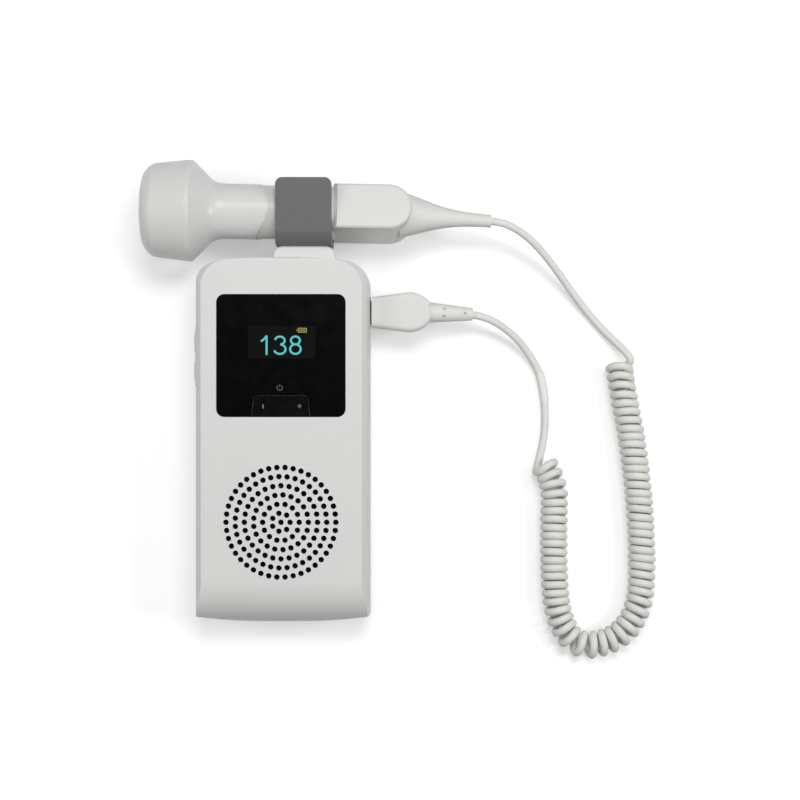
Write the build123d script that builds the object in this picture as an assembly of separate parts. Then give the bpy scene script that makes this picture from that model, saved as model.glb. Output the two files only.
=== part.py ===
from build123d import *
import math
import os

# Handheld fetal doppler monitor, lying on its back, with its probe in the clip on top.
# Millimetres. Origin: centre of the main unit's flat back. +X to the right of the display,
# +Y towards the probe end, +Z out of the front face.

# ---- Main unit: the case ----
unit_length = 138.0
unit_width = 66.7            # at the parting line, the widest place
unit_height = 29.0
parting_height = 15.0        # where front and rear covers meet
parting_groove_width = 0.4   # the fine line all round where they meet
parting_groove_depth = 0.3
wall = 2.0
front_width = 60.1           # flat front between the side bevels
shoulder_width = 64.0        # lower edge of the side bevels
shoulder_drop = 3.0
back_width = 61.0
side_belly_height = 5.0      # the rear cover's side reaches near full width here
side_belly_inset = 0.7
top_bow = 2.5                # how far the top end bows out, corner to middle
bottom_bow = 2.8
top_corner_radius = 10.5
bevel_corner_radius = 10.3   # top corners of the flat front
bevel_run_out = 2.0          # the side bevels' lower edge passes this far beyond the top end
bevel_slack = 0.15           # the corners' bevel stays this far outside the straight one
bottom_corner_radius = 1.2
nose_radius = 16.5           # the front face rolls over at the bottom end
top_edge_radius = 1.4
front_edge_radius = 0.9      # long edges of the flat front
shoulder_edge_radius = 2.5
belly_edge_radius = 8.0
back_edge_radius = 1.6
heel_setback = 5.0           # the bottom end leans in towards the back
top_setback = 2.0

# ---- Window and display ----
window_width = 48.2
window_length = 45.8
window_corner_radius = 3.0
window_from_top = 14.0
window_thickness = 1.5
window_edge = 0.2
window_sink = 0.1            # the window sheet lies this far below the front face
window_fit = 0.1
tape_thickness = 0.2
tape_width = 2.0
ledge_thickness = 1.2        # the shelf that carries the window sheet
ledge_margin = 2.0
oled_width = 30.0
oled_length = 16.5
oled_thickness = 1.4
oled_above_window_centre = 4.9
oled_gap = 0.3
oled_fit = 0.4
holder_border = 3.0
holder_thickness = 1.6
flex_width = 10.0
flex_thickness = 0.3

# ---- Power key ----
key_width = 22.2             # at the window's lower edge
key_top_width = 20.3
key_length = 8.2
key_corner_radius = 1.7
key_proud = 0.15
key_fit = 0.25
key_travel = 0.8
key_flange = 1.0
key_flange_thickness = 0.9
key_flange_gap = 0.1
key_stem_radius = 2.0

# ---- Volume keys on the left side ----
side_key_length = 7.0
side_key_height = 3.4
side_key_from_top = 32.0     # upper key's centre
side_key_spacing = 10.4
side_key_travel = 0.6
side_key_proud = 0.5
side_key_fit = 0.2
side_key_flange = 1.0
side_key_flange_thickness = 1.0
side_key_setback = 0.2       # flange to the nearest place of the wall behind it
side_key_stem_radius = 1.1
side_key_edge_radius = 0.35
strip_proud = 0.3            # raised strip around the volume keys
strip_margin = 2.4
strip_height = 6.0

# ---- Circuit board ----
board_side_gap = 7.35        # from the case's widest place to the board's edge
board_thickness = 1.6
board_underside = 17.0
board_bay_gap = 1.5
board_screw_gap = 0.6        # from a board screw or its post to the piece beside it
board_screw_inset = 3.0
board_screw_radius = 1.0
board_screw_head_radius = 1.9
board_screw_head_height = 1.4
board_screw_bite = 5.0
post_radius = 2.4
thread_fit = 0.05
switch_size = 6.0
switch_height = 2.8
switch_plunger = 0.7
switch_plunger_radius = 1.5
switch_gap = 0.1             # left between key and plunger at full travel
processor_size = 10.0
sound_chip_size = 7.0
memory_chip_width = 6.0
memory_chip_length = 4.0
chip_thickness = 1.2
capacitor_radius = 2.0
capacitor_height = 4.5
capacitor_inset = 1.2
capacitor_spacing = 5.2
capacitor_gap = 1.0          # from the switch's side to the nearest capacitor
can_width = 20.0
can_length = 16.0
can_height = 3.0
can_sheet = 0.3
can_from_edge = 14.0         # from the board's lower edge

# ---- Speaker ----
grille_from_bottom = 38.8
grille_pitch = 3.42          # from one ring of holes to the next
grille_rings = 6
grille_holes_per_ring = 7    # ring k has k times as many
grille_hole_diameter = 2.15
cloth_thickness = 0.4
speaker_margin = 0.8         # speaker radius beyond the outermost holes
speaker_flange_width = 2.0
speaker_flange_thickness = 1.2
basket_depth = 3.6
basket_sheet = 0.8
magnet_radius = 11.0
magnet_to_bay = 0.6
cone_thickness = 0.5
cone_sink = 0.3
speaker_screw_offset = 2.5   # from the flange's rim out to the screw
speaker_screw_head_radius = 2.9
speaker_screw_head_height = 1.2
speaker_post_radius = 2.2
speaker_screw_radius = 0.9

# ---- Battery bay and sliding cover ----
cell_diameter = 14.2
cell_length = 49.5
cell_nub_length = 1.0
cell_nub_radius = 2.75
cell_spacing = 14.8
cell_fit = 0.2
bay_from_bottom = 8.8
bay_wall = 1.4
spring_length = 3.2
spring_radius = 3.4
spring_tip_radius = 2.2
spring_wire = 0.8
plate_thickness = 0.5
plate_width = 11.0
plate_height = 10.0
cover_clearance = 0.5        # the battery cover stays this far above the table
cover_thickness = 2.0
cover_overlap = 2.0
cover_fit = 0.2
cell_above_cover = 0.3
tongue_width = 1.2
tongue_thickness = 1.0
rail_width = 2.0
rail_height = 1.8
grip_ridge_count = 5
grip_ridge_spacing = 2.4
grip_ridge_width = 1.0
grip_ridge_proud = 0.3
grip_ridge_length = 16.0
grip_from_end = 12.0

# ---- Case screws ----
case_screw_inset = 7.35      # from the case's widest place
case_screw_from_top = 11.0
case_screw_from_bottom = 17.0
case_screw_radius = 1.2
case_screw_head_radius = 2.3
case_screw_head_height = 1.6
case_screw_sink = 1.0
case_screw_seat = 2.0
case_screw_bite = 8.0
boss_radius = 3.2

# ---- Sockets on the right side ----
plug_from_top = 20.0         # plug's centre line, from the top end
nose_width = 9.0
nose_thickness = 5.0
nose_length = 8.0
nose_corner_radius = 1.2
nose_fit = 0.2
socket_wall = 1.0
socket_floor = 2.0
socket_wall_gap = 0.1        # from the socket to the nearest place of the side wall
pin_rows = 2
pins_per_row = 4
pin_spacing = 1.8
pin_radius = 0.3
pin_length = 5.0
pin_fit = 0.1
jack_from_top = 48.9
jack_width = 7.0
jack_height = 6.0
jack_bore_radius = 1.8
jack_bore_length = 13.0
jack_floor = 1.5
jack_barrel_radius = 2.7
jack_barrel_sink = 0.2

# ---- Probe clip and the neck that carries it ----
clip_offset = 8.5            # clip's centre, right of the unit's centre line
clip_width = 21.0
clip_wall = 2.3
clip_corner_radius = 5.0
clip_tip_radius = 2.6
clip_gap = 0.2
clip_floor_gap = 0.5
clip_jaw_past_axis = 12.0
neck_width = 20.8
neck_base_width = 23.7
neck_corner_radius = 3.4
neck_edge_radius = 0.8
neck_drop = 2.5              # neck's front face below the unit's front face
neck_thickness = 15.0
clip_screw_spacing = 11.0
clip_screw_radius = 1.2
clip_screw_length = 6.0
clip_screw_head_radius = 2.3
clip_screw_head_height = 1.3

# ---- Probe ----
probe_axis_from_top = 17.4   # the probe's axis beyond the unit's top end, at the clip
probe_tilt = -1.1            # degrees, in the plane of the front face
probe_roll = -14.0           # degrees, about its own axis
head_radius = 19.2
head_rim_radius = 17.75      # where the rounded front edge ends
head_face_radius = 11.2      # where the rounded front edge starts
head_floor_gap = 0.3
face_at = -62.1              # places along the axis, from the clip's centre
face_dome = 0.8
rim_at = -56.7
ridge_at = -43.6
cone_end_at = -33.9
cone_ridge_radius = 1.2
cone_root_radius = 8.0
handle_radius = 10.45
waist_radius = 10.15
waist_from = -13.0
waist_arc_radius = 13.0
grip_width = 17.6
grip_thickness = 19.4
grip_clearance = 0.4         # from the clip's side to the grip
grip_edge_radius = 1.2
grip_shoulder = 1.6
grip_end_at = 40.5
shell_wall = 2.0
cap_wall = 1.8
crystal_rim_gap = 0.3
crystal_thickness = 1.2
crystal_gap = 1.0
backing_margin = 3.5         # the backing's rim beyond the crystals
backing_thickness = 8.0
seal_width = 1.1
seal_length = 3.8
seal_fit = 0.2
probe_board_from = -38.0
probe_board_length = 58.0
probe_chip_size = 5.0
probe_board_width = 12.0
probe_board_thickness = 1.2
probe_screw_radius = 0.9
probe_screw_head_radius = 1.8
probe_screw_head_height = 1.2
probe_screw_at = (24.0,)
probe_boss_radius = 2.6
relief_from = 36.0
relief_length = 34.7
relief_bend = -3.0           # degrees, from the probe's axis
relief_root_radius = 8.9
relief_shoulder_radius = 6.25 # a quarter of the way along
relief_waist_radius = 3.85   # half way along
relief_neck_radius = 2.7     # three quarters of the way along
relief_tip_radius = 2.4
relief_collar_length = 1.5
relief_collar_radius = 2.5
relief_stub_radius = 4.0
relief_flange_radius = 5.6
relief_flange_thickness = 1.5

# ---- Plug ----
plug_gap = 0.35              # from the case to the plug
plug_root_width = 11.4
plug_width = 15.0
plug_thickness = 9.6
plug_edge_radius = 1.6
plug_widest_at = 14.0        # places along the plug, from its face
plug_shoulder_at = 18.4
plug_shoulder_width = 13.3
plug_hip_radius = 3.0        # rounds the widest place
plug_end_at = 22.0
plug_end_width = 7.8
plug_relief_length = 16.6
plug_relief_bend = -2.5
plug_relief_tip_radius = 2.4
plug_dimple_radius = 0.55
plug_dimple_depth = 1.0
plug_pull = 14.0

# ---- Cord ----
wire_diameter = 2.9
coil_diameter = 10.65
sleeve_diameter = 3.4
route_radius_share = 0.45    # bend radius, as a share of the shorter run beside it

# Points of the cord's route, in the unit's frame. Z is the height of its centre line.
probe_lead_route = [
    (85.5, 82.3, 18.8), (94.2, 77.3, 14.4), (102.6, 68.6, 8.9), (109.6, 59.4, 4.6),
    (116.8, 50.0, 2.0), (124.6, 41.6, 2.0), (130.9, 35.4, 3.4), (133.3, 28.4, 5.0),
]
coil_route = [
    (129.6, 29.0, 5.4), (132.6, 9.0, 5.4), (135.9, -11.0, 5.4), (138.0, -31.0, 5.4),
    (138.4, -52.0, 5.4), (138.2, -71.9, 5.4), (121.2, -81.7, 5.4), (104.2, -71.9, 5.4),
    (104.0, -52.0, 5.4), (104.3, -37.0, 5.4), (103.9, -24.0, 5.4), (101.0, -10.8, 5.4),
]
sleeve_lead_route = [
    (101.2, 4.8, 1.5), (99.8, -4.4, 2.4), (97.4, -12.0, 4.8),
]
sleeve_top = (98.8, 25.9, 1.9)
sleeve_bottom = (100.8, 14.4, 1.8)
plug_lead_route = [
    (78.6, 46.7, 11.8), (84.6, 43.4, 8.8), (90.6, 38.4, 5.6), (95.4, 32.2, 3.0),
]

# ---- Worked-out places ----
unit_top = unit_length / 2
unit_bottom = -unit_length / 2
inner_front = unit_height - wall
window_y = unit_top - window_from_top - window_length / 2
window_bottom = window_y - window_length / 2
window_face = unit_height - window_sink
recess_floor = window_face - window_thickness - tape_thickness
ledge_underside = recess_floor - ledge_thickness
oled_y = window_y + oled_above_window_centre
oled_top = window_face - window_thickness - oled_gap
oled_underside = oled_top - oled_thickness
board_top = board_underside + board_thickness
board_width = unit_width - 2 * board_side_gap
holder_top_y = oled_y + oled_length / 2 + holder_border
board_top_y = holder_top_y + board_screw_gap + post_radius + board_screw_inset
switch_top = board_top + switch_height
grille_y = unit_bottom + grille_from_bottom
grille_radius = grille_rings * grille_pitch + grille_hole_diameter / 2
cloth_underside = inner_front - cloth_thickness
speaker_radius = grille_radius + speaker_margin
flange_underside = cloth_underside - speaker_flange_thickness
cover_outside = cover_clearance
cover_inside = cover_clearance + cover_thickness
cell_z = cover_inside + cell_above_cover + cell_diameter / 2
bay_ceiling = cell_z + cell_diameter / 2 + cell_fit
bay_top = bay_ceiling + bay_wall
bay_half_width = cell_spacing / 2 + cell_diameter / 2 + cell_fit
cell_reach = cell_length + cell_nub_length
bay_start = unit_bottom + bay_from_bottom
bay_end = bay_start + cell_reach + spring_length + 2 * plate_thickness + cell_fit
cover_end = bay_end + cover_overlap
cover_half_width = bay_half_width + cover_overlap
board_bottom_y = bay_end + bay_wall + board_bay_gap
board_length = board_top_y - board_bottom_y
magnet_underside = bay_top + magnet_to_bay
basket_floor = flange_underside - basket_depth
probe_y = unit_top + probe_axis_from_top
probe_z = head_radius + head_floor_gap
clip_half = waist_radius + clip_gap + clip_wall
clip_floor = probe_y - waist_radius - clip_floor_gap
clip_base = clip_floor - clip_wall
crystal_radius = head_face_radius - cap_wall / 2 - crystal_rim_gap
backing_radius = crystal_radius + backing_margin
neck_front = unit_height - neck_drop
neck_back = neck_front - neck_thickness
plug_y = unit_top - plug_from_top
socket_height = nose_thickness + 2 * nose_fit + 2 * socket_wall
socket_width = nose_width + 2 * nose_fit + 2 * socket_wall
plug_z = board_underside - socket_height / 2
jack_y = unit_top - jack_from_top
jack_z = board_underside - jack_height / 2
side_key_z = board_top + switch_height / 2
side_key_places = [
    unit_top - side_key_from_top,
    unit_top - side_key_from_top - side_key_spacing,
]
case_screw_x = unit_width / 2 - case_screw_inset
case_screw_places = [
    (side * case_screw_x, y)
    for side in (-1, 1)
    for y in (unit_top - case_screw_from_top, unit_bottom + case_screw_from_bottom)
]
socket_back = unit_width / 2 + plug_gap - nose_length - nose_fit - socket_floor
board_screw_x = socket_back - board_screw_gap - board_screw_head_radius
board_screw_places = [
    (side * board_screw_x, y)
    for side in (-1, 1)
    for y in (board_top_y - board_screw_inset, board_bottom_y + board_screw_inset)
]
big = 4 * unit_length        # longer than anything here, for tools that cut right through

LOW = (Align.CENTER, Align.CENTER, Align.MIN)


# ---- Helpers ----
def block(x_low, x_high, y_low, y_high, z_low, z_high):
    """A box between two corners."""
    size = Box(x_high - x_low, y_high - y_low, z_high - z_low, align=Align.MIN)
    return Pos(x_low, y_low, z_low) * size


def rod(x, y, z_low, z_high, radius):
    """An upright round bar."""
    return Pos(x, y, z_low) * Cylinder(radius, z_high - z_low, align=LOW)


def bar(x_low, x_high, y, z, radius):
    """A round bar along X."""
    return Pos(x_low, y, z) * Rot(0, 90, 0) * Cylinder(radius, x_high - x_low, align=LOW)


def rounded_block(x_low, x_high, y, z, width, height, radius):
    """A bar along X with a rounded-rectangle section."""
    section = Plane((x_low, y, z), x_dir=(0, 1, 0), z_dir=(1, 0, 0)) * RectangleRounded(
        width, height, radius
    )
    return extrude(section, amount=x_high - x_low)


def above(z):
    return block(-big, big, -big, big, z, big)


def below(z):
    return block(-big, big, -big, big, -big, z)


def revolved(points_and_arcs):
    """A turned solid about the X axis from a closed half profile in X and Y."""
    return revolve(make_face(points_and_arcs), axis=Axis.X, revolution_arc=360)


def together(pieces):
    """One node that holds several separate solids."""
    return Compound(children=[solid for piece in pieces for solid in piece.solids()])


# ---- Case ----
def plan_face(inset):
    """The case seen from the front."""
    half = unit_width / 2 - inset
    top = unit_top - inset
    bottom = unit_bottom + inset
    outline = make_face([
        ThreePointArc((-half, top - top_bow), (0, top), (half, top - top_bow)),
        Line((half, top - top_bow), (half, bottom + bottom_bow)),
        ThreePointArc((half, bottom + bottom_bow), (0, bottom), (-half, bottom + bottom_bow)),
        Line((-half, bottom + bottom_bow), (-half, top - top_bow)),
    ])
    corners = outline.vertices().sort_by(Axis.Y)
    outline = fillet(corners[2:], max(top_corner_radius - inset, 0.5))
    low_corners = outline.vertices().sort_by(Axis.Y)[:2]
    return fillet(low_corners, max(bottom_corner_radius - inset, 0.5))


def section_face(inset):
    """The case seen along its length."""
    half = unit_width / 2 - inset
    back = back_width / 2 - inset
    front = front_width / 2 - inset / 2
    shoulder = shoulder_width / 2 - inset
    top = unit_height - inset
    belly = half - side_belly_inset
    shoulder_z = unit_height - shoulder_drop
    outline = make_face(Polyline(
        (back, inset), (belly, side_belly_height), (half, parting_height),
        (shoulder, shoulder_z), (front, top), (-front, top), (-shoulder, shoulder_z),
        (-half, parting_height), (-belly, side_belly_height), (-back, inset), close=True,
    ))
    for height, radius in (
        (top, front_edge_radius), (shoulder_z, shoulder_edge_radius),
        (side_belly_height, belly_edge_radius), (inset, back_edge_radius),
    ):
        if radius > inset:
            corners = outline.vertices().filter_by(lambda v: abs(v.Y - height) < 0.01)
            outline = fillet(corners, radius - inset)
    return outline


def side_face(inset):
    """The case seen from its right side, as local x along the length."""
    top = unit_top - inset
    bottom = unit_bottom + inset
    front = unit_height - inset
    bend = nose_radius - inset
    heel = front - bend
    low = unit_bottom + heel_setback + inset
    mid = bottom + bend - bend * math.cos(math.radians(45))
    mid_z = heel + bend * math.sin(math.radians(45))
    outline = make_face([
        Line((low, inset), (bottom, heel)),
        ThreePointArc((bottom, heel), (mid, mid_z), (bottom + bend, front)),
        Line((bottom + bend, front), (top, front)),
        Line((top, front), (top, inset + top_setback)),
        Line((top, inset + top_setback), (top - top_setback, inset)),
        Line((top - top_setback, inset), (low, inset)),
    ])
    front_corner = outline.vertices().sort_by(lambda v: v.X + v.Y)[-1]
    return fillet(front_corner, max(top_edge_radius - inset, 0.2))


def bevel_face(half, top, radius):
    """A level of the bevelled room: the case's top end, carried far down."""
    outline = make_face([
        ThreePointArc((-half, top - top_bow), (0, top), (half, top - top_bow)),
        Line((half, top - top_bow), (half, -unit_length)),
        Line((half, -unit_length), (-half, -unit_length)),
        Line((-half, -unit_length), (-half, top - top_bow)),
    ])
    return fillet(outline.vertices().sort_by(Axis.Y)[2:], radius)


def bevelled_room(inset):
    """What the side bevels leave where they run on round the top corners and fade out."""
    top = unit_top - inset + bevel_slack / 3
    levels = (
        (parting_height, unit_width / 2 - inset, top + 1.2 * bevel_run_out, top_corner_radius),
        (unit_height - shoulder_drop, shoulder_width / 2 - inset, top + bevel_run_out,
         bevel_corner_radius + bevel_run_out / 2),
        (unit_height - inset, front_width / 2 - inset / 2, top, bevel_corner_radius),
    )
    return loft([
        Pos(0, 0, z) * bevel_face(half + bevel_slack, y, radius - inset)
        for z, half, y, radius in levels
    ], ruled=True)


def case_block(inset):
    """The whole case as one block, each face set in by inset."""
    plan = extrude(plan_face(inset), amount=unit_height)
    section = extrude(Plane.XZ * section_face(inset), amount=unit_length, both=True)
    side = extrude(Plane.YZ * side_face(inset), amount=unit_width, both=True)
    corners = above(parting_height) - bevelled_room(inset)
    return (plan & section & side) - corners


def case_side_x(z):
    """Half the case's width at a height on the front cover, by its section and its plan."""
    share = (z - parting_height) / (unit_height - shoulder_drop - parting_height)
    by_section = unit_width / 2 + share * (shoulder_width - unit_width) / 2
    return min(by_section, unit_width / 2)


def parting_groove(case):
    """The ring cut from both covers' outer edges where they meet."""
    half = parting_groove_width / 2
    slab = block(-big, big, -big, big, parting_height - half, parting_height + half)
    return (case & slab) - case_block(parting_groove_depth)


def neck():
    """The short neck on the top end, flared towards the case."""
    half = neck_width / 2
    base = neck_base_width / 2
    root_y = unit_top - wall - top_bow
    outline = make_face(Polyline(
        (-half, clip_base), (half, clip_base), (base, unit_top), (base, root_y),
        (-base, root_y), (-base, unit_top), close=True,
    ))
    tips = outline.vertices().sort_by(Axis.Y)[-2:]
    outline = fillet(tips, neck_corner_radius)
    solid = Pos(clip_offset, 0, neck_back) * extrude(outline, amount=neck_thickness)
    end_edges = solid.edges().filter_by(lambda e: e.center().Z > neck_front - 0.01)
    front_tip = end_edges.filter_by(lambda e: e.center().Y > unit_top + neck_edge_radius)
    return fillet(front_tip, neck_edge_radius)


def window_outline(grow):
    """The window sheet's outline."""
    return RectangleRounded(
        window_width + 2 * grow, window_length + 2 * grow, window_corner_radius + grow
    )


def key_outline(grow):
    """The power key's outline: a tab with two rounded top corners, on the window's lower edge."""
    low = window_bottom - grow
    high = window_bottom + key_length + grow
    half_low = key_width / 2 + grow
    half_high = key_top_width / 2 + grow
    tab = make_face(Polyline(
        (-half_low, low), (half_low, low), (half_high, high), (-half_high, high), close=True
    ))
    return fillet(tab.vertices().sort_by(Axis.Y)[-2:], key_corner_radius)


def ring_places(count, radius):
    """Places evenly spaced on a circle, the first one to the right."""
    step = 2 * math.pi / count
    return [(radius * math.cos(i * step), radius * math.sin(i * step)) for i in range(count)]


def grille_holes():
    """Sound holes: one in the middle and rings of 7, 14, 21 and so on around it."""
    places = [(0.0, 0.0)]
    for ring in range(1, grille_rings + 1):
        places += ring_places(grille_holes_per_ring * ring, ring * grille_pitch)
    radius = grille_hole_diameter / 2
    return [rod(x, grille_y + y, inner_front - 1, unit_height + 1, radius) for x, y in places]


def speaker_screw_places():
    reach = speaker_radius + speaker_screw_offset
    corner = reach * math.cos(math.radians(45))
    return [(sx * corner, grille_y + sy * corner) for sx in (-1, 1) for sy in (-1, 1)]


def side_key_slots():
    """Openings in the left wall for the two volume keys."""
    half = side_key_length / 2 + side_key_fit
    tall = side_key_height / 2 + side_key_fit
    left = -case_side_x(side_key_z)
    return [
        block(left - 3, left + wall + 2, y - half, y + half, side_key_z - tall, side_key_z + tall)
        for y in side_key_places
    ]


def side_strip():
    """The raised strip around the volume keys, lying on the sloping side."""
    low_y = side_key_places[-1] - side_key_length / 2 - strip_margin
    high_y = side_key_places[0] + side_key_length / 2 + strip_margin
    slope = math.degrees(math.atan2(
        (unit_width - shoulder_width) / 2, unit_height - shoulder_drop - parting_height
    ))
    pad = Box(wall, high_y - low_y, strip_height, align=(Align.MIN, Align.CENTER, Align.CENTER))
    pad = fillet(pad.edges().filter_by(Axis.X), 1.0)
    left = -case_side_x(side_key_z) - strip_proud
    return Pos(left, (low_y + high_y) / 2, side_key_z) * Rot(0, slope, 0) * pad


def socket_opening():
    """The hole in the right wall for the plug's nose."""
    return rounded_block(
        unit_width / 2 - wall - 2, unit_width / 2 + 2, plug_y, plug_z,
        nose_width + 2 * nose_fit, nose_thickness + 2 * nose_fit, nose_corner_radius
    )


def jack_opening():
    """The hole in the right wall for the headphone jack's barrel."""
    return bar(
        unit_width / 2 - wall - 2, unit_width / 2 + 2, jack_y, jack_z,
        jack_barrel_radius + nose_fit
    )


def clip_screw_holes():
    """Holes in the neck for the two screws that hold the clip."""
    drill = Rot(90, 0, 0) * Cylinder(clip_screw_radius + thread_fit, clip_screw_length, align=LOW)
    return [
        Pos(clip_offset + side * clip_screw_spacing / 2, clip_base, probe_z) * drill
        for side in (-1, 1)
    ]


def front_cover(case, hollow):
    """The front shell with its window recess, sound holes, posts and the neck's front part."""
    shell = (case - hollow - parting_groove(case)) & above(parting_height)
    pad_width = window_width + 2 * ledge_margin
    pad_length = window_length + 2 * ledge_margin
    pad = Pos(0, window_y, ledge_underside) * extrude(
        RectangleRounded(pad_width, pad_length, window_corner_radius + ledge_margin),
        amount=inner_front - ledge_underside,
    )
    shell += pad
    shell += side_strip() - hollow
    for x, y in case_screw_places:
        shell += rod(x, y, parting_height, inner_front + 0.5, boss_radius) & hollow
    for x, y in board_screw_places:
        shell += rod(x, y, board_top, inner_front + 0.5, post_radius)
    for x, y in speaker_screw_places():
        shell += rod(x, y, flange_underside, inner_front + 0.5, speaker_post_radius)
    shell += neck() & above(parting_height)
    recess = Pos(0, window_y, recess_floor) * extrude(window_outline(window_fit), amount=wall + 3)
    oled_hole = Pos(0, oled_y, ledge_underside - 1) * extrude(
        Rectangle(oled_width + 2 * oled_fit, oled_length + 2 * oled_fit), amount=wall + 3
    )
    key_hole = Pos(0, 0, ledge_underside - 1) * extrude(key_outline(key_fit), amount=wall + 3)
    key_hole &= block(-big, big, window_bottom - window_fit, big, -big, big)
    shell -= [recess, oled_hole, key_hole]
    shell -= grille_holes()
    shell -= side_key_slots()
    shell -= [socket_opening(), jack_opening()]
    shell -= clip_screw_holes()
    bite = case_screw_bite + 0.5
    for x, y in case_screw_places:
        shell -= rod(x, y, parting_height - 1, parting_height + bite, case_screw_radius + thread_fit)
    for x, y in board_screw_places:
        hole = board_screw_radius + thread_fit
        shell -= rod(x, y, board_top - 1, board_top + board_screw_bite, hole)
    for x, y in speaker_screw_places():
        hole = speaker_screw_radius + thread_fit
        shell -= rod(x, y, flange_underside - 1, inner_front, hole)
    return shell


def cover_pocket():
    """Room for the battery cover and its tongues, open through the bottom end."""
    half = cover_half_width + cover_fit
    tongue = half + tongue_width
    y_high = cover_end + cover_fit
    plate = block(-half, half, -big, y_high, -big, cover_inside + cover_fit)
    low = cover_inside - tongue_thickness - cover_fit
    slots = block(-tongue, tongue, -big, y_high, low, cover_inside + cover_fit)
    return plate + slots


def rear_cover(case, hollow):
    """The back shell with the battery bay, the rails of its sliding cover and the screw posts."""
    shell = (case - hollow - parting_groove(case)) & below(parting_height)
    outer = bay_half_width + bay_wall
    bay_block = block(
        -outer, outer, bay_start - bay_wall, bay_end + bay_wall, wall, bay_top
    )
    rail_half = cover_half_width + cover_fit + tongue_width + rail_width
    rail_top = cover_inside + cover_fit + rail_height
    rails = block(-rail_half, rail_half, unit_bottom, cover_end + rail_width, 0, rail_top)
    shell += (bay_block + rails) & case_block(wall / 2)
    for x, y in case_screw_places:
        shell += rod(x, y, wall / 2, parting_height, boss_radius) & case_block(wall / 2)
    shell += neck() & below(parting_height)
    cells = block(-bay_half_width, bay_half_width, bay_start, bay_end, -1, bay_ceiling)
    shell -= [cells, cover_pocket(), socket_opening(), jack_opening()]
    shell -= clip_screw_holes()
    seat = case_screw_sink + case_screw_head_height
    for x, y in case_screw_places:
        shell -= rod(x, y, -1, seat, case_screw_head_radius + cover_fit)
        shell -= rod(x, y, -1, parting_height + 1, case_screw_radius + cover_fit / 2)
    return shell


def battery_cover(case):
    """The sliding cover: the case's own outer shape between the rails, with side tongues."""
    half = cover_half_width
    plate = block(-half, half, -big, cover_end, cover_outside, cover_inside)
    tongues = block(
        -half - tongue_width, half + tongue_width, unit_bottom + heel_setback, cover_end,
        cover_inside - tongue_thickness, cover_inside
    )
    cover = (plate & case) + (tongues & case)
    first = unit_bottom + grip_from_end
    for i in range(grip_ridge_count):
        y = first + i * grip_ridge_spacing
        half_ridge = grip_ridge_length / 2
        cover += block(
            -half_ridge, half_ridge, y, y + grip_ridge_width,
            cover_outside - grip_ridge_proud, cover_outside
        )
    return cover


# ---- Window, display and key ----
def display_window():
    """The black window sheet, with a notch for the power key."""
    sheet = Pos(0, window_y, window_face - window_thickness) * extrude(
        window_outline(0), amount=window_thickness
    )
    sheet = chamfer(sheet.faces().sort_by(Axis.Z)[-1].edges(), window_edge)
    notch = extrude(key_outline(key_fit), amount=unit_height + 1)
    return sheet - notch


def window_tape():
    """The adhesive frame under the window sheet."""
    frame = extrude(window_outline(0), amount=tape_thickness)
    frame -= extrude(
        Rectangle(window_width - 2 * tape_width, window_length - 2 * tape_width),
        amount=tape_thickness,
    )
    frame = Pos(0, window_y, recess_floor) * frame
    return frame - extrude(key_outline(key_fit), amount=unit_height + 1)


def oled_panel():
    return block(
        -oled_width / 2, oled_width / 2, oled_y - oled_length / 2, oled_y + oled_length / 2,
        oled_underside, oled_top
    )


def oled_holder():
    """The plastic frame that clamps the display panel against the ledge."""
    half_x = oled_width / 2 + holder_border
    half_y = oled_length / 2 + holder_border
    body = block(
        -half_x, half_x, oled_y - half_y, oled_y + half_y,
        oled_underside - holder_thickness, ledge_underside
    )
    lower = oled_underside
    room_x = oled_width / 2 + oled_fit / 2
    room_y = oled_length / 2 + oled_fit / 2
    body -= block(-room_x, room_x, oled_y - room_y, oled_y + room_y, lower, unit_height)
    slit_y = oled_y - oled_length / 2
    body -= block(
        -flex_width / 2 - oled_fit, flex_width / 2 + oled_fit,
        slit_y, slit_y + holder_border, 0, unit_height
    )
    return body


def oled_flex():
    """The display's flat cable, straight down from the panel to the board."""
    y = oled_y - oled_length / 2 + holder_border / 2
    return block(
        -flex_width / 2, flex_width / 2, y - flex_thickness / 2, y + flex_thickness / 2,
        board_top, oled_underside
    )


def power_key():
    """The key cap, its retaining flange under the ledge and its stem."""
    top = unit_height + key_proud
    cap = Pos(0, 0, ledge_underside - key_flange_gap) * extrude(
        key_outline(0), amount=top - ledge_underside + key_flange_gap
    )
    cap = fillet(cap.faces().sort_by(Axis.Z)[-1].edges(), 0.3)
    flange_top = ledge_underside - key_flange_gap
    flange = Pos(0, 0, flange_top - key_flange_thickness) * extrude(
        key_outline(key_flange), amount=key_flange_thickness
    )
    stem_low = switch_top + switch_plunger + key_travel + switch_gap
    key_y = window_bottom + key_length / 2
    return cap + flange + rod(0, key_y, stem_low, flange_top, key_stem_radius)


def side_key(y):
    """A volume key: cap through the wall, flange behind it, stem towards its switch."""
    cap_x = -case_side_x(side_key_z) - side_key_proud
    flange_height = side_key_height + 2 * side_key_flange
    narrowest = min(
        case_side_x(side_key_z - flange_height / 2), case_side_x(side_key_z + flange_height / 2)
    )
    flange_x = wall + side_key_setback - narrowest
    middle = (Align.MIN, Align.CENTER, Align.CENTER)
    cap = Pos(cap_x, y, side_key_z) * Box(
        flange_x - cap_x, side_key_length, side_key_height, align=middle
    )
    cap = fillet(cap.faces().sort_by(Axis.X)[0].edges(), side_key_edge_radius)
    flange = Pos(flange_x, y, side_key_z) * Box(
        side_key_flange_thickness, side_key_length + 2 * side_key_flange, flange_height,
        align=middle
    )
    stem_end = side_plunger_x() - side_key_travel - switch_gap
    return cap + flange + bar(flange_x, stem_end, y, side_key_z, side_key_stem_radius)


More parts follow.
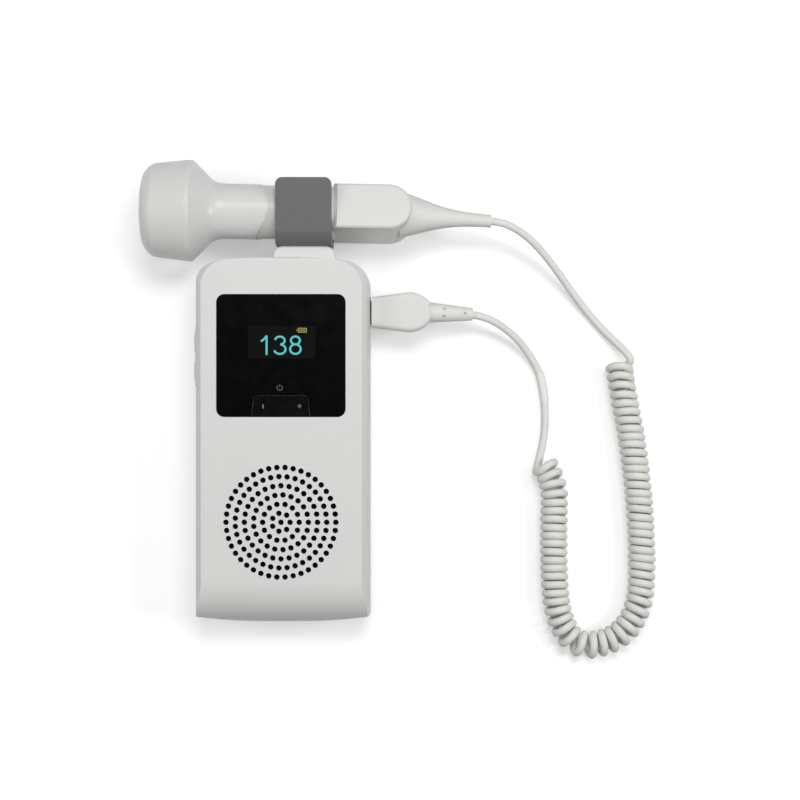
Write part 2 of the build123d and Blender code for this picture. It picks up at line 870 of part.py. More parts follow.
# ---- Board ----
def side_plunger_x():
    """Tip of a volume switch's plunger, at the board's left edge."""
    return -board_width / 2 - switch_plunger


def main_board():
    """The circuit board with its screw holes."""
    board = block(
        -board_width / 2, board_width / 2, board_bottom_y, board_top_y, board_underside, board_top
    )
    for x, y in board_screw_places:
        board -= rod(x, y, board_underside - 1, board_top + 1, board_screw_radius + pin_fit)
    return board


def chip(x, y, z, width, length, thickness):
    return block(x - width / 2, x + width / 2, y - length / 2, y + length / 2, z, z + thickness)


def board_chips():
    """The processor, the sound chip and the memory chip, placed by shares of the board."""
    layout = (
        (-0.23, 0.24, processor_size, processor_size),
        (0.18, 0.2, sound_chip_size, sound_chip_size),
        (0.27, 0.4, memory_chip_width, memory_chip_length),
    )
    return together([
        chip(x * board_width, board_bottom_y + y * board_length, board_top, width, length,
             chip_thickness)
        for x, y, width, length in layout
    ])


def board_capacitors():
    """Tall capacitors along the board's lower edge, two each side of the power switch."""
    y = board_bottom_y + capacitor_radius + capacitor_inset
    first = switch_size / 2 + capacitor_gap + capacitor_radius
    places = [side * (first + i * capacitor_spacing) for side in (-1, 1) for i in (0, 1)]
    return together([
        rod(x, y, board_top, board_top + capacitor_height, capacitor_radius) for x in places
    ])


def shield_can():
    """The folded metal can over the receiver, on the board's underside."""
    y_low = board_bottom_y + can_from_edge
    can = block(
        -can_width / 2, can_width / 2, y_low, y_low + can_length,
        board_underside - can_height, board_underside
    )
    return can - block(
        -can_width / 2 + can_sheet, can_width / 2 - can_sheet,
        y_low + can_sheet, y_low + can_length - can_sheet,
        board_underside - can_height + can_sheet, board_underside
    )


def headed_screw(shank_radius, head_radius, head_height, length):
    """A screw with its head below z = 0 and its shank above, with a cross slot."""
    screw = Cylinder(shank_radius, length, align=LOW)
    head = Pos(0, 0, -head_height) * Cylinder(head_radius, head_height, align=LOW)
    slot_length = head_radius * 1.2
    slot_width = head_radius * 0.25
    depth = head_height / 2
    for angle in (0, 90):
        head -= Pos(0, 0, -head_height) * Rot(0, 0, angle) * Box(slot_length, slot_width, 2 * depth)
    return screw + head


def screws_up(places, z, shank_radius, head_radius, head_height, length):
    """Screws driven upwards from z, as one group."""
    screw = headed_screw(shank_radius, head_radius, head_height, length)
    return together([Pos(x, y, z) * screw for x, y in places])


def power_switch():
    y = window_bottom + key_length / 2
    half = switch_size / 2
    body = block(-half, half, y - half, y + half, board_top, switch_top)
    return body + rod(0, y, switch_top, switch_top + switch_plunger, switch_plunger_radius)


def volume_switches():
    """Two side-acting switches at the board's left edge."""
    made = []
    left = -board_width / 2
    for y in side_key_places:
        half = switch_size / 2
        body = block(left, left + switch_size / 2, y - half, y + half, board_top, switch_top)
        plunger = bar(side_plunger_x(), left, y, side_key_z, side_key_stem_radius)
        made.append(body + plunger)
    return together(made)


# ---- Speaker ----
def speaker_cloth():
    return rod(0, grille_y, cloth_underside, inner_front, speaker_radius)


def speaker_frame():
    """The pressed basket: a flat rim and a sloping wall down to the magnet."""
    rim_in = speaker_radius - speaker_flange_width
    foot = magnet_radius
    basket = make_face(Polyline(
        (speaker_radius, flange_underside), (speaker_radius, cloth_underside),
        (rim_in, cloth_underside), (rim_in, flange_underside),
        (foot, basket_floor + basket_sheet), (0, basket_floor + basket_sheet),
        (0, basket_floor), (foot + basket_sheet, basket_floor),
        (rim_in + basket_sheet, flange_underside), close=True,
    ))
    return Pos(0, grille_y, 0) * revolve(Plane.XZ * basket, axis=Axis.Z)


def speaker_magnet():
    magnet = rod(0, grille_y, magnet_underside, basket_floor, magnet_radius)
    return chamfer(magnet.faces().sort_by(Axis.Z)[0].edges(), 0.5)


def speaker_cone():
    """The paper cone with its dust dome."""
    top = cloth_underside - cone_sink
    rim = speaker_radius - speaker_flange_width - cone_sink
    neck_radius = magnet_radius / 2
    low = basket_floor + basket_sheet + cone_sink
    dome = (neck_radius * 0.7, low + 0.7 + cone_thickness)
    profile = make_face(Polyline(
        (rim, top), (neck_radius, low + cone_thickness), dome, (0, low + 1.0 + cone_thickness),
        (0, low + 1.0), (dome[0], low + 0.7), (neck_radius, low),
        (rim, top - cone_thickness), close=True,
    ))
    return Pos(0, grille_y, 0) * revolve(Plane.XZ * profile, axis=Axis.Z)


# ---- Batteries ----
def cell(length, nub):
    body = Cylinder(cell_diameter / 2, length, align=LOW)
    body = fillet(body.edges(), 0.6)
    return body + Pos(0, 0, length) * Cylinder(cell_nub_radius, nub, align=LOW)


def battery_layout():
    """For each cell: its x, the y of its flat end and its direction."""
    low = bay_start + plate_thickness + spring_length
    high = bay_end - plate_thickness - spring_length
    return [(-cell_spacing / 2, low, 1), (cell_spacing / 2, high, -1)]


def battery_cells():
    one = cell(cell_length, cell_nub_length)
    return together([
        Pos(x, y, cell_z) * Rot(-90 * direction, 0, 0) * one
        for x, y, direction in battery_layout()
    ])


def battery_springs():
    """Conical springs, wide at the plate, pressing on each cell's flat end."""
    turns = 3
    height = spring_length - spring_wire
    pitch = height / turns
    taper = -math.degrees(math.atan2(spring_radius - spring_tip_radius, height))
    path = Helix(pitch, height, spring_radius, cone_angle=taper)
    coil = sweep(Plane(path @ 0, z_dir=path % 0) * Circle(spring_wire / 2), path=path)
    coil = Pos(0, 0, spring_wire / 2) * coil
    made = []
    for x, y, direction in battery_layout():
        turned = Pos(x, y - direction * spring_length, cell_z) * Rot(-90 * direction, 0, 0)
        made.append(turned * coil)
    return together(made)


def battery_plates():
    """Contact plates on both end walls of the bay, one behind each cell's end."""
    low_z = cell_z - plate_height / 2
    made = []
    for side in (-1, 1):
        x = side * cell_spacing / 2
        for y in (bay_start, bay_end - plate_thickness):
            made.append(block(
                x - plate_width / 2, x + plate_width / 2, y, y + plate_thickness,
                low_z, low_z + plate_height
            ))
    return together(made)


# ---- Sockets ----
def probe_socket():
    """The plug's receptacle under the board's right edge."""
    room_width = nose_width + 2 * nose_fit
    room_height = nose_thickness + 2 * nose_fit
    mouth = unit_width / 2 - wall - side_belly_inset - socket_wall_gap
    body = rounded_block(socket_back, mouth, plug_y, plug_z, socket_width, socket_height, 1.0)
    room = rounded_block(
        socket_back + socket_floor, mouth + 1, plug_y, plug_z, room_width, room_height,
        nose_corner_radius
    )
    return body - room


def pin_places():
    """Contact places across the plug, as y and z."""
    return [
        (plug_y + (i - (pins_per_row - 1) / 2) * pin_spacing,
         plug_z + (j - (pin_rows - 1) / 2) * pin_spacing)
        for i in range(pins_per_row) for j in range(pin_rows)
    ]


def socket_pins():
    root = socket_back + socket_floor
    return together([bar(root, root + pin_length, y, z, pin_radius) for y, z in pin_places()])


def headphone_jack():
    """The headphone jack's body and its barrel through the right wall."""
    barrel_end = case_side_x(parting_height) - jack_barrel_sink
    face = unit_width / 2 - wall - 0.3
    low = barrel_end - jack_bore_length - jack_floor
    body = block(
        low, face, jack_y - jack_width / 2, jack_y + jack_width / 2,
        jack_z - jack_height / 2, jack_z + jack_height / 2
    )
    body += bar(face, barrel_end, jack_y, jack_z, jack_barrel_radius)
    return body - bar(low + jack_floor, barrel_end + 1, jack_y, jack_z, jack_bore_radius)


# ---- Clip ----
def probe_clip():
    """The spring clip: a C of sheet plastic, open away from the unit."""
    inner = clip_half - clip_wall
    tip = probe_y + clip_jaw_past_axis
    outside = Plane.YZ * Pos((clip_base + tip) / 2, probe_z) * Rectangle(
        tip - clip_base, 2 * clip_half
    )
    solid = extrude(outside, amount=clip_width / 2, both=True)
    base_edges = solid.edges().filter_by(Axis.X).sort_by(Axis.Y)[:2]
    solid = fillet(base_edges, clip_corner_radius)
    channel = Plane.YZ * Pos((clip_floor + tip + 5) / 2, probe_z) * Rectangle(
        tip + 5 - clip_floor, 2 * inner
    )
    channel = extrude(channel, amount=clip_width, both=True)
    inner_edges = channel.edges().filter_by(Axis.X).sort_by(Axis.Y)[:2]
    channel = fillet(inner_edges, clip_corner_radius - clip_wall)
    solid -= channel
    corners = solid.edges().filter_by(Axis.Z).filter_by(lambda e: e.center().Y > tip - 0.01)
    solid = fillet(corners, clip_tip_radius)
    solid = Pos(clip_offset, 0, 0) * solid
    for side in (-1, 1):
        x = clip_offset + side * clip_screw_spacing / 2
        drill = Rot(90, 0, 0) * Cylinder(clip_screw_radius + pin_fit, clip_wall + 1, align=LOW)
        sink = Rot(90, 0, 0) * Cylinder(
            clip_screw_head_radius + pin_fit, clip_screw_head_height + 1, align=LOW
        )
        solid -= Pos(x, clip_floor + 0.5, probe_z) * drill
        solid -= Pos(x, clip_floor + 1, probe_z) * sink
    return solid


def clip_screws():
    screw = headed_screw(
        clip_screw_radius, clip_screw_head_radius, clip_screw_head_height,
        clip_screw_length + clip_wall - clip_screw_head_height - 0.5
    )
    y = clip_floor - clip_screw_head_height
    return together([
        Pos(clip_offset + side * clip_screw_spacing / 2, y, probe_z) * Rot(90, 0, 0) * screw
        for side in (-1, 1)
    ])


# ---- Probe, modelled along X from the clip's centre, display side up, then put in the clip ----
def in_clip(shape):
    """From the probe's own frame to its place in the clip: rolled, tilted, then moved."""
    return Pos(clip_offset, probe_y, probe_z) * Rot(0, 0, probe_tilt) * Rot(probe_roll, 0, 0) * shape


def head_solid(inset):
    """The head's front part, from the acoustic face to the ridge."""
    face = face_at + inset
    shrunk = head_face_radius - inset / 2
    dome_at = face + face_dome * 0.25
    round_mid = (
        face_at + (rim_at - face_at) * 0.45 + inset * 0.7,
        head_face_radius + (head_rim_radius - head_face_radius) * 0.68 - inset * 0.7
    )
    return revolved([
        Line((ridge_at, 0), (face, 0)),
        ThreePointArc((face, 0), (dome_at, shrunk / 2), (face + face_dome, shrunk)),
        ThreePointArc((face + face_dome, shrunk), round_mid, (rim_at, head_rim_radius - inset)),
        Line((rim_at, head_rim_radius - inset), (ridge_at, head_radius - inset)),
        Line((ridge_at, head_radius - inset), (ridge_at, 0)),
    ])


def cone_profile(inset, handle):
    """The half profile behind the ridge: the cone, then a round bar as far as the grip."""
    end = grip_start() + thread_fit
    ridge_end = ridge_at + cone_ridge_radius
    rim = head_radius - inset
    return Polyline(
        (ridge_at, 0), (ridge_at, rim), (ridge_end, rim), (cone_end_at, handle),
        (end, handle), (end, 0), close=True,
    )


def cone_and_handle():
    """The cone behind the ridge, the round handle and the thinner waist that the clip holds."""
    cone = revolved(cone_profile(0, handle_radius))
    circles = cone.edges().filter_by(GeomType.CIRCLE)
    ridge = circles.filter_by(lambda e: abs(e.center().X - ridge_at - cone_ridge_radius) < 0.01)
    cone = fillet(ridge, cone_ridge_radius)
    circles = cone.edges().filter_by(GeomType.CIRCLE)
    root = circles.filter_by(lambda e: abs(e.center().X - cone_end_at) < 0.01)
    cone = fillet(root, cone_root_radius)
    arc_centre = waist_from - waist_arc_radius
    groove = bar(arc_centre, grip_end_at, 0, 0, 2 * handle_radius)
    groove -= bar(arc_centre - 1, grip_end_at + 1, 0, 0, waist_radius)
    groove -= Pos(arc_centre, 0, 0) * Cylinder(waist_arc_radius, 6 * handle_radius)
    return cone - groove


def grip_start():
    return clip_width / 2 + grip_clearance


def grip_block(inset):
    """The flat-sided grip with its rounded end."""
    half = grip_width / 2 - inset
    start = grip_start() + inset
    end = grip_end_at - inset
    outline = make_face([
        Line((start, -half), (start, half)),
        Line((start, half), (end - half, half)),
        ThreePointArc((end - half, half), (end, 0), (end - half, -half)),
        Line((end - half, -half), (start, -half)),
    ])
    thick = grip_thickness - 2 * inset
    return Pos(0, 0, -thick / 2) * extrude(outline, amount=thick)


def probe_outside():
    """The probe's shell as one block, without the cap."""
    grip = grip_block(0)
    upper = grip.edges().filter_by(lambda e: abs(abs(e.center().Z) - grip_thickness / 2) < 0.01)
    left = upper.filter_by(lambda e: abs(e.center().X - grip_start()) < 0.01)
    grip = chamfer(left, grip_shoulder)
    rims = grip.edges().filter_by(lambda e: abs(abs(e.center().Z) - grip_thickness / 2) < 0.01)
    rims = rims.filter_by(lambda e: e.center().X > grip_start() + grip_shoulder + 0.1)
    grip = fillet(rims, grip_edge_radius)
    return cone_and_handle() + grip


def probe_hollow():
    """The room inside the shell."""
    room = revolved(cone_profile(shell_wall, waist_radius - shell_wall))
    grip_room = grip_block(shell_wall)
    reach = 2 * shell_wall
    passage = bar(grip_start() - reach, grip_start() + reach, 0, 0, waist_radius - shell_wall)
    return room + grip_room + passage


def probe_shells():
    """Front and back halves of the shell, split through the axis."""
    outside = probe_outside()
    shell = outside - probe_hollow()
    for x in probe_screw_at:
        shell += rod(x, 0, -grip_thickness / 2 + shell_wall / 2, grip_thickness / 2 - shell_wall / 2,
                     probe_boss_radius)
    shell -= bar(relief_from - shell_wall, grip_end_at + 1, 0, 0, relief_stub_radius)
    half = grip_thickness / 2
    for x in probe_screw_at:
        shell -= rod(x, 0, -half - 1, half - shell_wall, probe_screw_radius + thread_fit)
        shell -= rod(x, 0, -half - 1, -half + probe_screw_head_height + 0.6,
                     probe_screw_head_radius + pin_fit)
    return shell & above(0), shell & below(0), outside


def face_cap():
    """The cap over the crystals, from the face to the ridge."""
    hollow = head_solid(cap_wall) & block(
        face_at + crystal_seat(), ridge_at + 1, -big, big, -big, big
    )
    return head_solid(0) - hollow


def crystal_seat():
    """Depth from the face's middle to the flat that the crystals sit on."""
    return cap_wall + face_dome


def crystal_halves():
    """Two half discs: one sends, the other listens."""
    at = face_at + crystal_seat()
    disc = bar(at, at + crystal_thickness, 0, 0, crystal_radius)
    gap = crystal_gap / 2
    return together([
        disc & block(-big, big, gap, big, -big, big), disc & block(-big, big, -big, -gap, -big, big)
    ])


def backing_block():
    at = face_at + crystal_seat() + crystal_thickness
    block_solid = bar(at, at + backing_thickness, 0, 0, backing_radius)
    return fillet(block_solid.edges().filter_by(GeomType.CIRCLE), 0.6)


def face_seal():
    """The soft ring inside the joint of cap and shell, following the cap's inner wall."""
    start = ridge_at - seal_length
    slope = (head_radius - head_rim_radius) / (ridge_at - rim_at)
    outer_start = head_radius - slope * seal_length - cap_wall - seal_fit
    outer_end = head_radius - cap_wall - seal_fit
    return revolved(Polyline(
        (start, outer_start - seal_width), (start, outer_start), (ridge_at, outer_end),
        (ridge_at, outer_end - seal_width), close=True,
    ))


def probe_board():
    half = probe_board_width / 2
    thick = probe_board_thickness / 2
    return block(
        probe_board_from, probe_board_from + probe_board_length, -half, half, -thick, thick
    )


def probe_board_chips():
    """Three chips spaced along the probe's board."""
    top = probe_board_thickness / 2
    return together([
        chip(probe_board_from + share * probe_board_length, 0, top, probe_chip_size,
             probe_chip_size, chip_thickness)
        for share in (0.24, 0.45, 0.66)
    ])


def probe_screws():
    screw = headed_screw(
        probe_screw_radius, probe_screw_head_radius, probe_screw_head_height,
        grip_thickness - probe_screw_head_height - 0.6 - 2 * shell_wall
    )
    z = -grip_thickness / 2 + 0.6 + probe_screw_head_height
    return together([Pos(x, 0, z) * screw for x in probe_screw_at])


def relief_frame(shape):
    """From the strain relief's own frame, along X, to the probe's place in the clip."""
    root = Rot(-probe_roll, 0, 0) * Pos(relief_from, 0, 0) * Rot(0, 0, relief_bend) * shape
    return in_clip(root)


def probe_strain_relief(outside):
    """The soft tail: a flared cone that ends in a small collar, keyed into the shell."""
    middle = relief_length * 0.5
    collar_at = relief_length - relief_collar_length
    cone = revolved([
        Line((0, 0), (0, relief_root_radius)),
        Spline(
            (0, relief_root_radius), (relief_length * 0.25, relief_shoulder_radius),
            (middle, relief_waist_radius), (relief_length * 0.75, relief_neck_radius),
            (collar_at, relief_tip_radius),
        ),
        Line((collar_at, relief_tip_radius), (collar_at, relief_collar_radius)),
        Line((collar_at, relief_collar_radius), (relief_length, relief_collar_radius)),
        Line((relief_length, relief_collar_radius), (relief_length, 0)),
        Line((relief_length, 0), (0, 0)),
    ])
    tail = relief_frame(cone)
    whole = in_clip(outside)
    tail -= whole
    tail -= in_clip(block(-big, relief_from, -big, big, -big, big))
    inner_end = grip_end_at - shell_wall
    stub = bar(inner_end - relief_flange_thickness, grip_end_at, 0, 0, relief_stub_radius - thread_fit)
    flange = bar(inner_end - grip_width / 4 - relief_flange_thickness, inner_end - grip_width / 4,
                 0, 0, relief_flange_radius)
    link = bar(inner_end - grip_width / 4, grip_end_at, 0, 0, relief_stub_radius - thread_fit)
    return tail + in_clip(stub + flange + link)


def inside_relief():
    """A point on the strain relief's axis, a little before the lead comes out of it."""
    return tuple(relief_frame(Pos(relief_length - wire_diameter, 0, 0) * Sphere(1)).center())


# ---- Plug ----
def plug_face_x():
    return unit_width / 2 + plug_gap


def plug_body():
    """The flat plug: it widens from its face, then rounds in to the strain relief."""
    root = plug_root_width / 2
    wide = plug_width / 2
    shoulder = plug_shoulder_width / 2
    end = plug_end_width / 2
    outline = make_face([
        Line((0, -root), (0, root)),
        Line((0, root), (plug_widest_at, wide)),
        ThreePointArc((plug_widest_at, wide), (plug_shoulder_at, shoulder), (plug_end_at, end)),
        Line((plug_end_at, end), (plug_end_at, -end)),
        ThreePointArc((plug_end_at, -end), (plug_shoulder_at, -shoulder), (plug_widest_at, -wide)),
        Line((plug_widest_at, -wide), (0, -root)),
    ])
    hips = outline.vertices().filter_by(lambda v: abs(v.X - plug_widest_at) < 0.01)
    outline = fillet(hips, plug_hip_radius)
    solid = Pos(0, 0, -plug_thickness / 2) * extrude(outline, amount=plug_thickness)
    rims = solid.edges().filter_by(lambda e: abs(abs(e.center().Z) - plug_thickness / 2) < 0.01)
    rims = rims.filter_by(lambda e: 0.1 < e.center().X < plug_end_at - 0.1)
    solid = fillet(rims, plug_edge_radius)
    return Pos(plug_face_x(), plug_y, plug_z) * solid


def plug_core():
    """The nose that enters the socket, with a hole for each pin."""
    x_low = plug_face_x() - nose_length
    core = rounded_block(
        x_low, plug_face_x(), plug_y, plug_z, nose_width, nose_thickness, nose_corner_radius
    )
    hole = pin_radius + pin_fit
    depth = pin_length + nose_fit
    return core - [bar(x_low - 1, x_low + depth, y, z, hole) for y, z in pin_places()]


def plug_relief_frame(shape):
    root = Pos(plug_face_x() + plug_end_at, plug_y, plug_z)
    return root * Rot(0, 0, plug_relief_bend) * shape


def plug_strain_relief():
    """The plug's soft tail with its three small dimples."""
    root = plug_end_width / 2
    tip = plug_relief_tip_radius
    cone = revolved(Polyline(
        (0, 0), (0, root), (plug_relief_length, tip), (plug_relief_length, 0), close=True
    ))
    for share, side in ((0.34, 1), (0.34, -1), (0.82, 0)):
        x = share * plug_relief_length
        surface = root + share * (tip - root)
        y = side * surface * 0.42
        top = math.sqrt(surface ** 2 - y ** 2)
        cone -= rod(x, y, top - plug_dimple_depth, top + 1, plug_dimple_radius)
    tail = plug_relief_frame(cone)
    return tail - block(-big, plug_face_x() + plug_end_at, -big, big, -big, big)


def inside_plug_relief():
    """A point on the plug's strain relief's axis, a little before the lead comes out of it."""
    inside = plug_relief_length - wire_diameter
    return tuple(plug_relief_frame(Pos(inside, 0, 0) * Sphere(1)).center())


# ---- Cord ----
def bend_radii(points):
    """Each corner's radius: a share of its shorter run, divided by the tangent of half the turn."""
    radii = []
    for before, corner, after in zip(points, points[1:], points[2:]):
        run_in = Vector(*corner) - Vector(*before)
        run_out = Vector(*after) - Vector(*corner)
        turn = math.radians(run_in.get_angle(run_out))
        shorter = min(run_in.length, run_out.length)
        radii.append(route_radius_share * shorter / math.tan(turn / 2))
    return radii


def tube(name, points, diameter):
    """A round tube along straight runs joined by tangent arcs."""
    points = [tuple(p) for p in points]
    radii = bend_radii(points)
    if radii:
        path = FilletPolyline(*points, radius=radii)
    else:
        path = Line(*points)
    start = Plane(origin=path @ 0, z_dir=path % 0)
    solid = sweep(start * Circle(diameter / 2), path=path)
    expected = math.pi * diameter ** 2 / 4 * path.length
    print(name, "length", round(path.length, 1), "radii", [round(r, 1) for r in radii],
          "volume", round(solid.volume, 1), "section x length", round(expected, 1))
    return solid


def moved_on(start, towards, distance):
    """The point a distance from start, on the line towards another point."""
    step = Vector(*towards) - Vector(*start)
    step = step * (distance / step.length)
    return tuple(Vector(*start) + step)


def coil_end_block(end, next_point):
    """Everything on the coil's side of one of its end faces."""
    into_coil = Vector(*next_point) - Vector(*end)
    size = 3 * coil_diameter
    return Plane(origin=end, z_dir=into_coil) * Box(size, size, size, align=LOW)


def probe_lead(relief):
    """From the probe's strain relief to the rim of the coil's end, where the first turn begins."""
    lead = tube("probe_lead", [inside_relief()] + probe_lead_route, wire_diameter)
    return lead - coil_end_block(coil_route[0], coil_route[1]) - relief


def sleeve_lead():
    """From the sleeve, cut square to Y, down to the rim of the coil's other end."""
    beyond = moved_on(sleeve_bottom, sleeve_top, wire_diameter)
    lead = tube("sleeve_lead", [beyond] + sleeve_lead_route, wire_diameter)
    lead -= block(-big, big, sleeve_bottom[1], big, -big, big)
    return lead - coil_end_block(coil_route[-1], coil_route[-2])


def cord_sleeve():
    """The sleeve on the lead, both ends cut square to Y."""
    start = moved_on(sleeve_top, sleeve_bottom, -wire_diameter)
    end = moved_on(sleeve_bottom, sleeve_top, -wire_diameter)
    solid = tube("cord_sleeve", [start, end], sleeve_diameter)
    return solid & block(-big, big, sleeve_bottom[1], sleeve_top[1], -big, big)


def plug_lead(relief):
    """From the plug's strain relief to the sleeve, where it ends square to Y."""
    beyond = moved_on(sleeve_top, sleeve_bottom, wire_diameter)
    route = [inside_plug_relief()] + plug_lead_route + [beyond]
    solid = tube("plug_lead", route, wire_diameter)
    return solid - block(-big, big, -big, sleeve_top[1], -big, big) - relief


def cord_coil():
    """The coiled stretch, as one tube of its outer diameter."""
    return tube("cord_coil", coil_route, coil_diameter)


# ---- Write every node ----
def build_nodes():
    case = case_block(0)
    hollow = case_block(wall)
    shell_front, shell_back, outside = probe_shells()
    probe_relief = probe_strain_relief(outside)
    plug_relief = plug_strain_relief()
    screw_length = parting_height - case_screw_sink - case_screw_head_height + case_screw_bite
    return {
        "front_cover": front_cover(case, hollow),
        "rear_cover": rear_cover(case, hollow),
        "battery_cover": battery_cover(case),
        "display_window": display_window(),
        "window_tape": window_tape(),
        "oled_panel": oled_panel(),
        "oled_holder": oled_holder(),
        "oled_flex": oled_flex(),
        "power_key": power_key(),
        "volume_up_key": side_key(side_key_places[0]),
        "volume_down_key": side_key(side_key_places[1]),
        "main_board": main_board(),
        "board_chips": board_chips(),
        "board_capacitors": board_capacitors(),
        "shield_can": shield_can(),
        "board_screws": screws_up(
            board_screw_places, board_underside, board_screw_radius, board_screw_head_radius,
            board_screw_head_height, board_thickness + board_screw_bite - 0.5
        ),
        "power_switch": power_switch(),
        "volume_switches": volume_switches(),
        "speaker_cloth": speaker_cloth(),
        "speaker_frame": speaker_frame(),
        "speaker_magnet": speaker_magnet(),
        "speaker_cone": speaker_cone(),
        "speaker_screws": screws_up(
            speaker_screw_places(), flange_underside, speaker_screw_radius,
            speaker_screw_head_radius, speaker_screw_head_height,
            inner_front - flange_underside - 0.3
        ),
        "battery_cells": battery_cells(),
        "battery_springs": battery_springs(),
        "battery_plates": battery_plates(),
        "case_screws": screws_up(
            case_screw_places, case_screw_sink + case_screw_head_height, case_screw_radius,
            case_screw_head_radius, case_screw_head_height, screw_length
        ),
        "probe_socket": probe_socket(),
        "socket_pins": socket_pins(),
        "headphone_jack": headphone_jack(),
        "probe_clip": probe_clip(),
        "clip_screws": clip_screws(),
        "probe_face_cap": in_clip(face_cap()),
        "probe_front_shell": in_clip(shell_front),
        "probe_back_shell": in_clip(shell_back),
        "crystal_halves": in_clip(crystal_halves()),
        "backing_block": in_clip(backing_block()),
        "face_seal": in_clip(face_seal()),
        "probe_board": in_clip(probe_board()),
        "probe_board_chips": in_clip(probe_board_chips()),
        "probe_screws": in_clip(probe_screws()),
        "probe_strain_relief": probe_relief,
        "plug_body": plug_body(),
        "plug_core": plug_core(),
        "plug_strain_relief": plug_relief,
        "probe_lead": probe_lead(probe_relief),
        "cord_coil": cord_coil(),
        "sleeve_lead": sleeve_lead(),
        "cord_sleeve": cord_sleeve(),
        "plug_lead": plug_lead(plug_relief),
    }


os.makedirs("parts", exist_ok=True)
for node_name, shape in build_nodes().items():
    export_step(shape, f"parts/{node_name}.step")
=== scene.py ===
import math

import bmesh
import bpy
import numpy as np
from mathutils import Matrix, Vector


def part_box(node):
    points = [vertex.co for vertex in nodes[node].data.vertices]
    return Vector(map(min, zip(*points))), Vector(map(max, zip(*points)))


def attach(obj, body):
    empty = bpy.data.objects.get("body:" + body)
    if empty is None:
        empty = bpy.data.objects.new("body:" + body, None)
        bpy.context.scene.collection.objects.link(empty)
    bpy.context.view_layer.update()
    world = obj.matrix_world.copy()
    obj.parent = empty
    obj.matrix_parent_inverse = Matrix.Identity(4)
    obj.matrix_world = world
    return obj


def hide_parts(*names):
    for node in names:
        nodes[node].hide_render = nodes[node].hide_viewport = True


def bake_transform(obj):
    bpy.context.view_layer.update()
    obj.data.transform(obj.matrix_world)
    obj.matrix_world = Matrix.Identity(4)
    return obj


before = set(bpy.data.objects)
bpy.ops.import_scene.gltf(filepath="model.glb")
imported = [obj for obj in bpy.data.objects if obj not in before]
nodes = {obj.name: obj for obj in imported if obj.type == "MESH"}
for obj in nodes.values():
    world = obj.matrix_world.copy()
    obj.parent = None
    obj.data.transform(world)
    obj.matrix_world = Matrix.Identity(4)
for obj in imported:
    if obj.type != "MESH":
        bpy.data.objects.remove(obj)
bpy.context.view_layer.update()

scene = bpy.context.scene
MM = 0.001


# ---- Shader helpers ----
MIX_SOCKETS = {"FLOAT": (2, 3, 0), "RGBA": (6, 7, 2)}      # a Mix node's two inputs and its output


def add(tree, kind, **settings):
    """A node with its properties and plain inputs set by name."""
    node = tree.nodes.new(kind)
    for name, value in settings.items():
        if hasattr(node, name):
            setattr(node, name, value)
        else:
            node.inputs[name].default_value = value
    return node


def feed(tree, socket, value):
    """Fills an input from another socket, with a colour or with a number."""
    if isinstance(value, bpy.types.NodeSocket):
        tree.links.new(value, socket)
    elif isinstance(value, tuple):
        socket.default_value = (*value, 1)
    else:
        socket.default_value = value


def mixed(tree, factor, a, b, kind="RGBA"):
    """A colour or a number between two others, each a socket or plain."""
    first, second, result = MIX_SOCKETS[kind]
    node = add(tree, "ShaderNodeMix", data_type=kind)
    tree.links.new(factor, node.inputs[0])
    feed(tree, node.inputs[first], a)
    feed(tree, node.inputs[second], b)
    return node.outputs[result]


def combined(tree, operation, a, b):
    """A calculation with two sockets."""
    node = add(tree, "ShaderNodeMath", operation=operation)
    tree.links.new(a, node.inputs[0])
    tree.links.new(b, node.inputs[1])
    return node.outputs[0]


def ranged(tree, value, low, high, to_low, to_high):
    """A value carried from one range to another and held at its ends."""
    node = tree.nodes.new("ShaderNodeMapRange")
    names = ("From Min", "From Max", "To Min", "To Max")
    for name, number in zip(names, (low, high, to_low, to_high)):
        node.inputs[name].default_value = number
    tree.links.new(value, node.inputs["Value"])
    return node.outputs[0]


def on_axis(tree, place, axis):
    """One coordinate of a place or direction."""
    split = tree.nodes.new("ShaderNodeSeparateXYZ")
    tree.links.new(place, split.inputs[0])
    return split.outputs[axis]


def noise(tree, place, scale, detail):
    texture = add(tree, "ShaderNodeTexNoise", Scale=scale, Detail=detail)
    tree.links.new(place, texture.inputs["Vector"])
    return texture.outputs["Fac"]


# ---- Camera, floor and light ----
EYE = Vector((44.5, 15.5, 680.0)) * MM      # the camera looks straight down from here
LENS = 78.44
SENSOR = 36.0
FRAME_PIXELS = 800            # side of the photograph's square frame

FLOOR_REACH = 3.0             # half the floor's side, in metres
FLOOR_TONE = 0.95             # the floor's tone where it is seen
FLOOR_BOUNCE = 0.28           # its tone for the light that it throws back up
NEAR_LIFT = 0.33              # glow added where it is seen, so that it shows white by the object
FAR_LIFT = 1.0                # the same far out, where the lamps fall off
NEAR_FLOOR = 0.24             # distances between which the glow rises, in metres
FAR_FLOOR = 0.60

OVERHEAD = 0.93               # upward part of a direction at which the sky counts as overhead
SKY_LIGHT = (0.0, 0.36)       # the sky's strength at the horizon and overhead, as light
SKY_SHOWN = (1.0, 0.03)       # the same where gloss or glass shows it

LAMP_AIM = Vector((0.045, 0.0, 0.0))
LAMPS = {                     # place and size in metres, power in watts
    "upper_box": ((0.12, 0.355, 0.74), (0.40, 0.22), 2.25),
    "left_box": ((-0.50, 0.03, 0.50), (0.30, 0.25), 1.0),
    "right_box": ((0.62, 0.04, 0.52), (0.24, 0.25), 1.65),
}


def make_camera():
    data = bpy.data.cameras.new("camera")
    data.lens = LENS
    data.sensor_width = SENSOR
    camera = bpy.data.objects.new("camera", data)
    camera.location = EYE
    scene.collection.objects.link(camera)
    scene.camera = camera


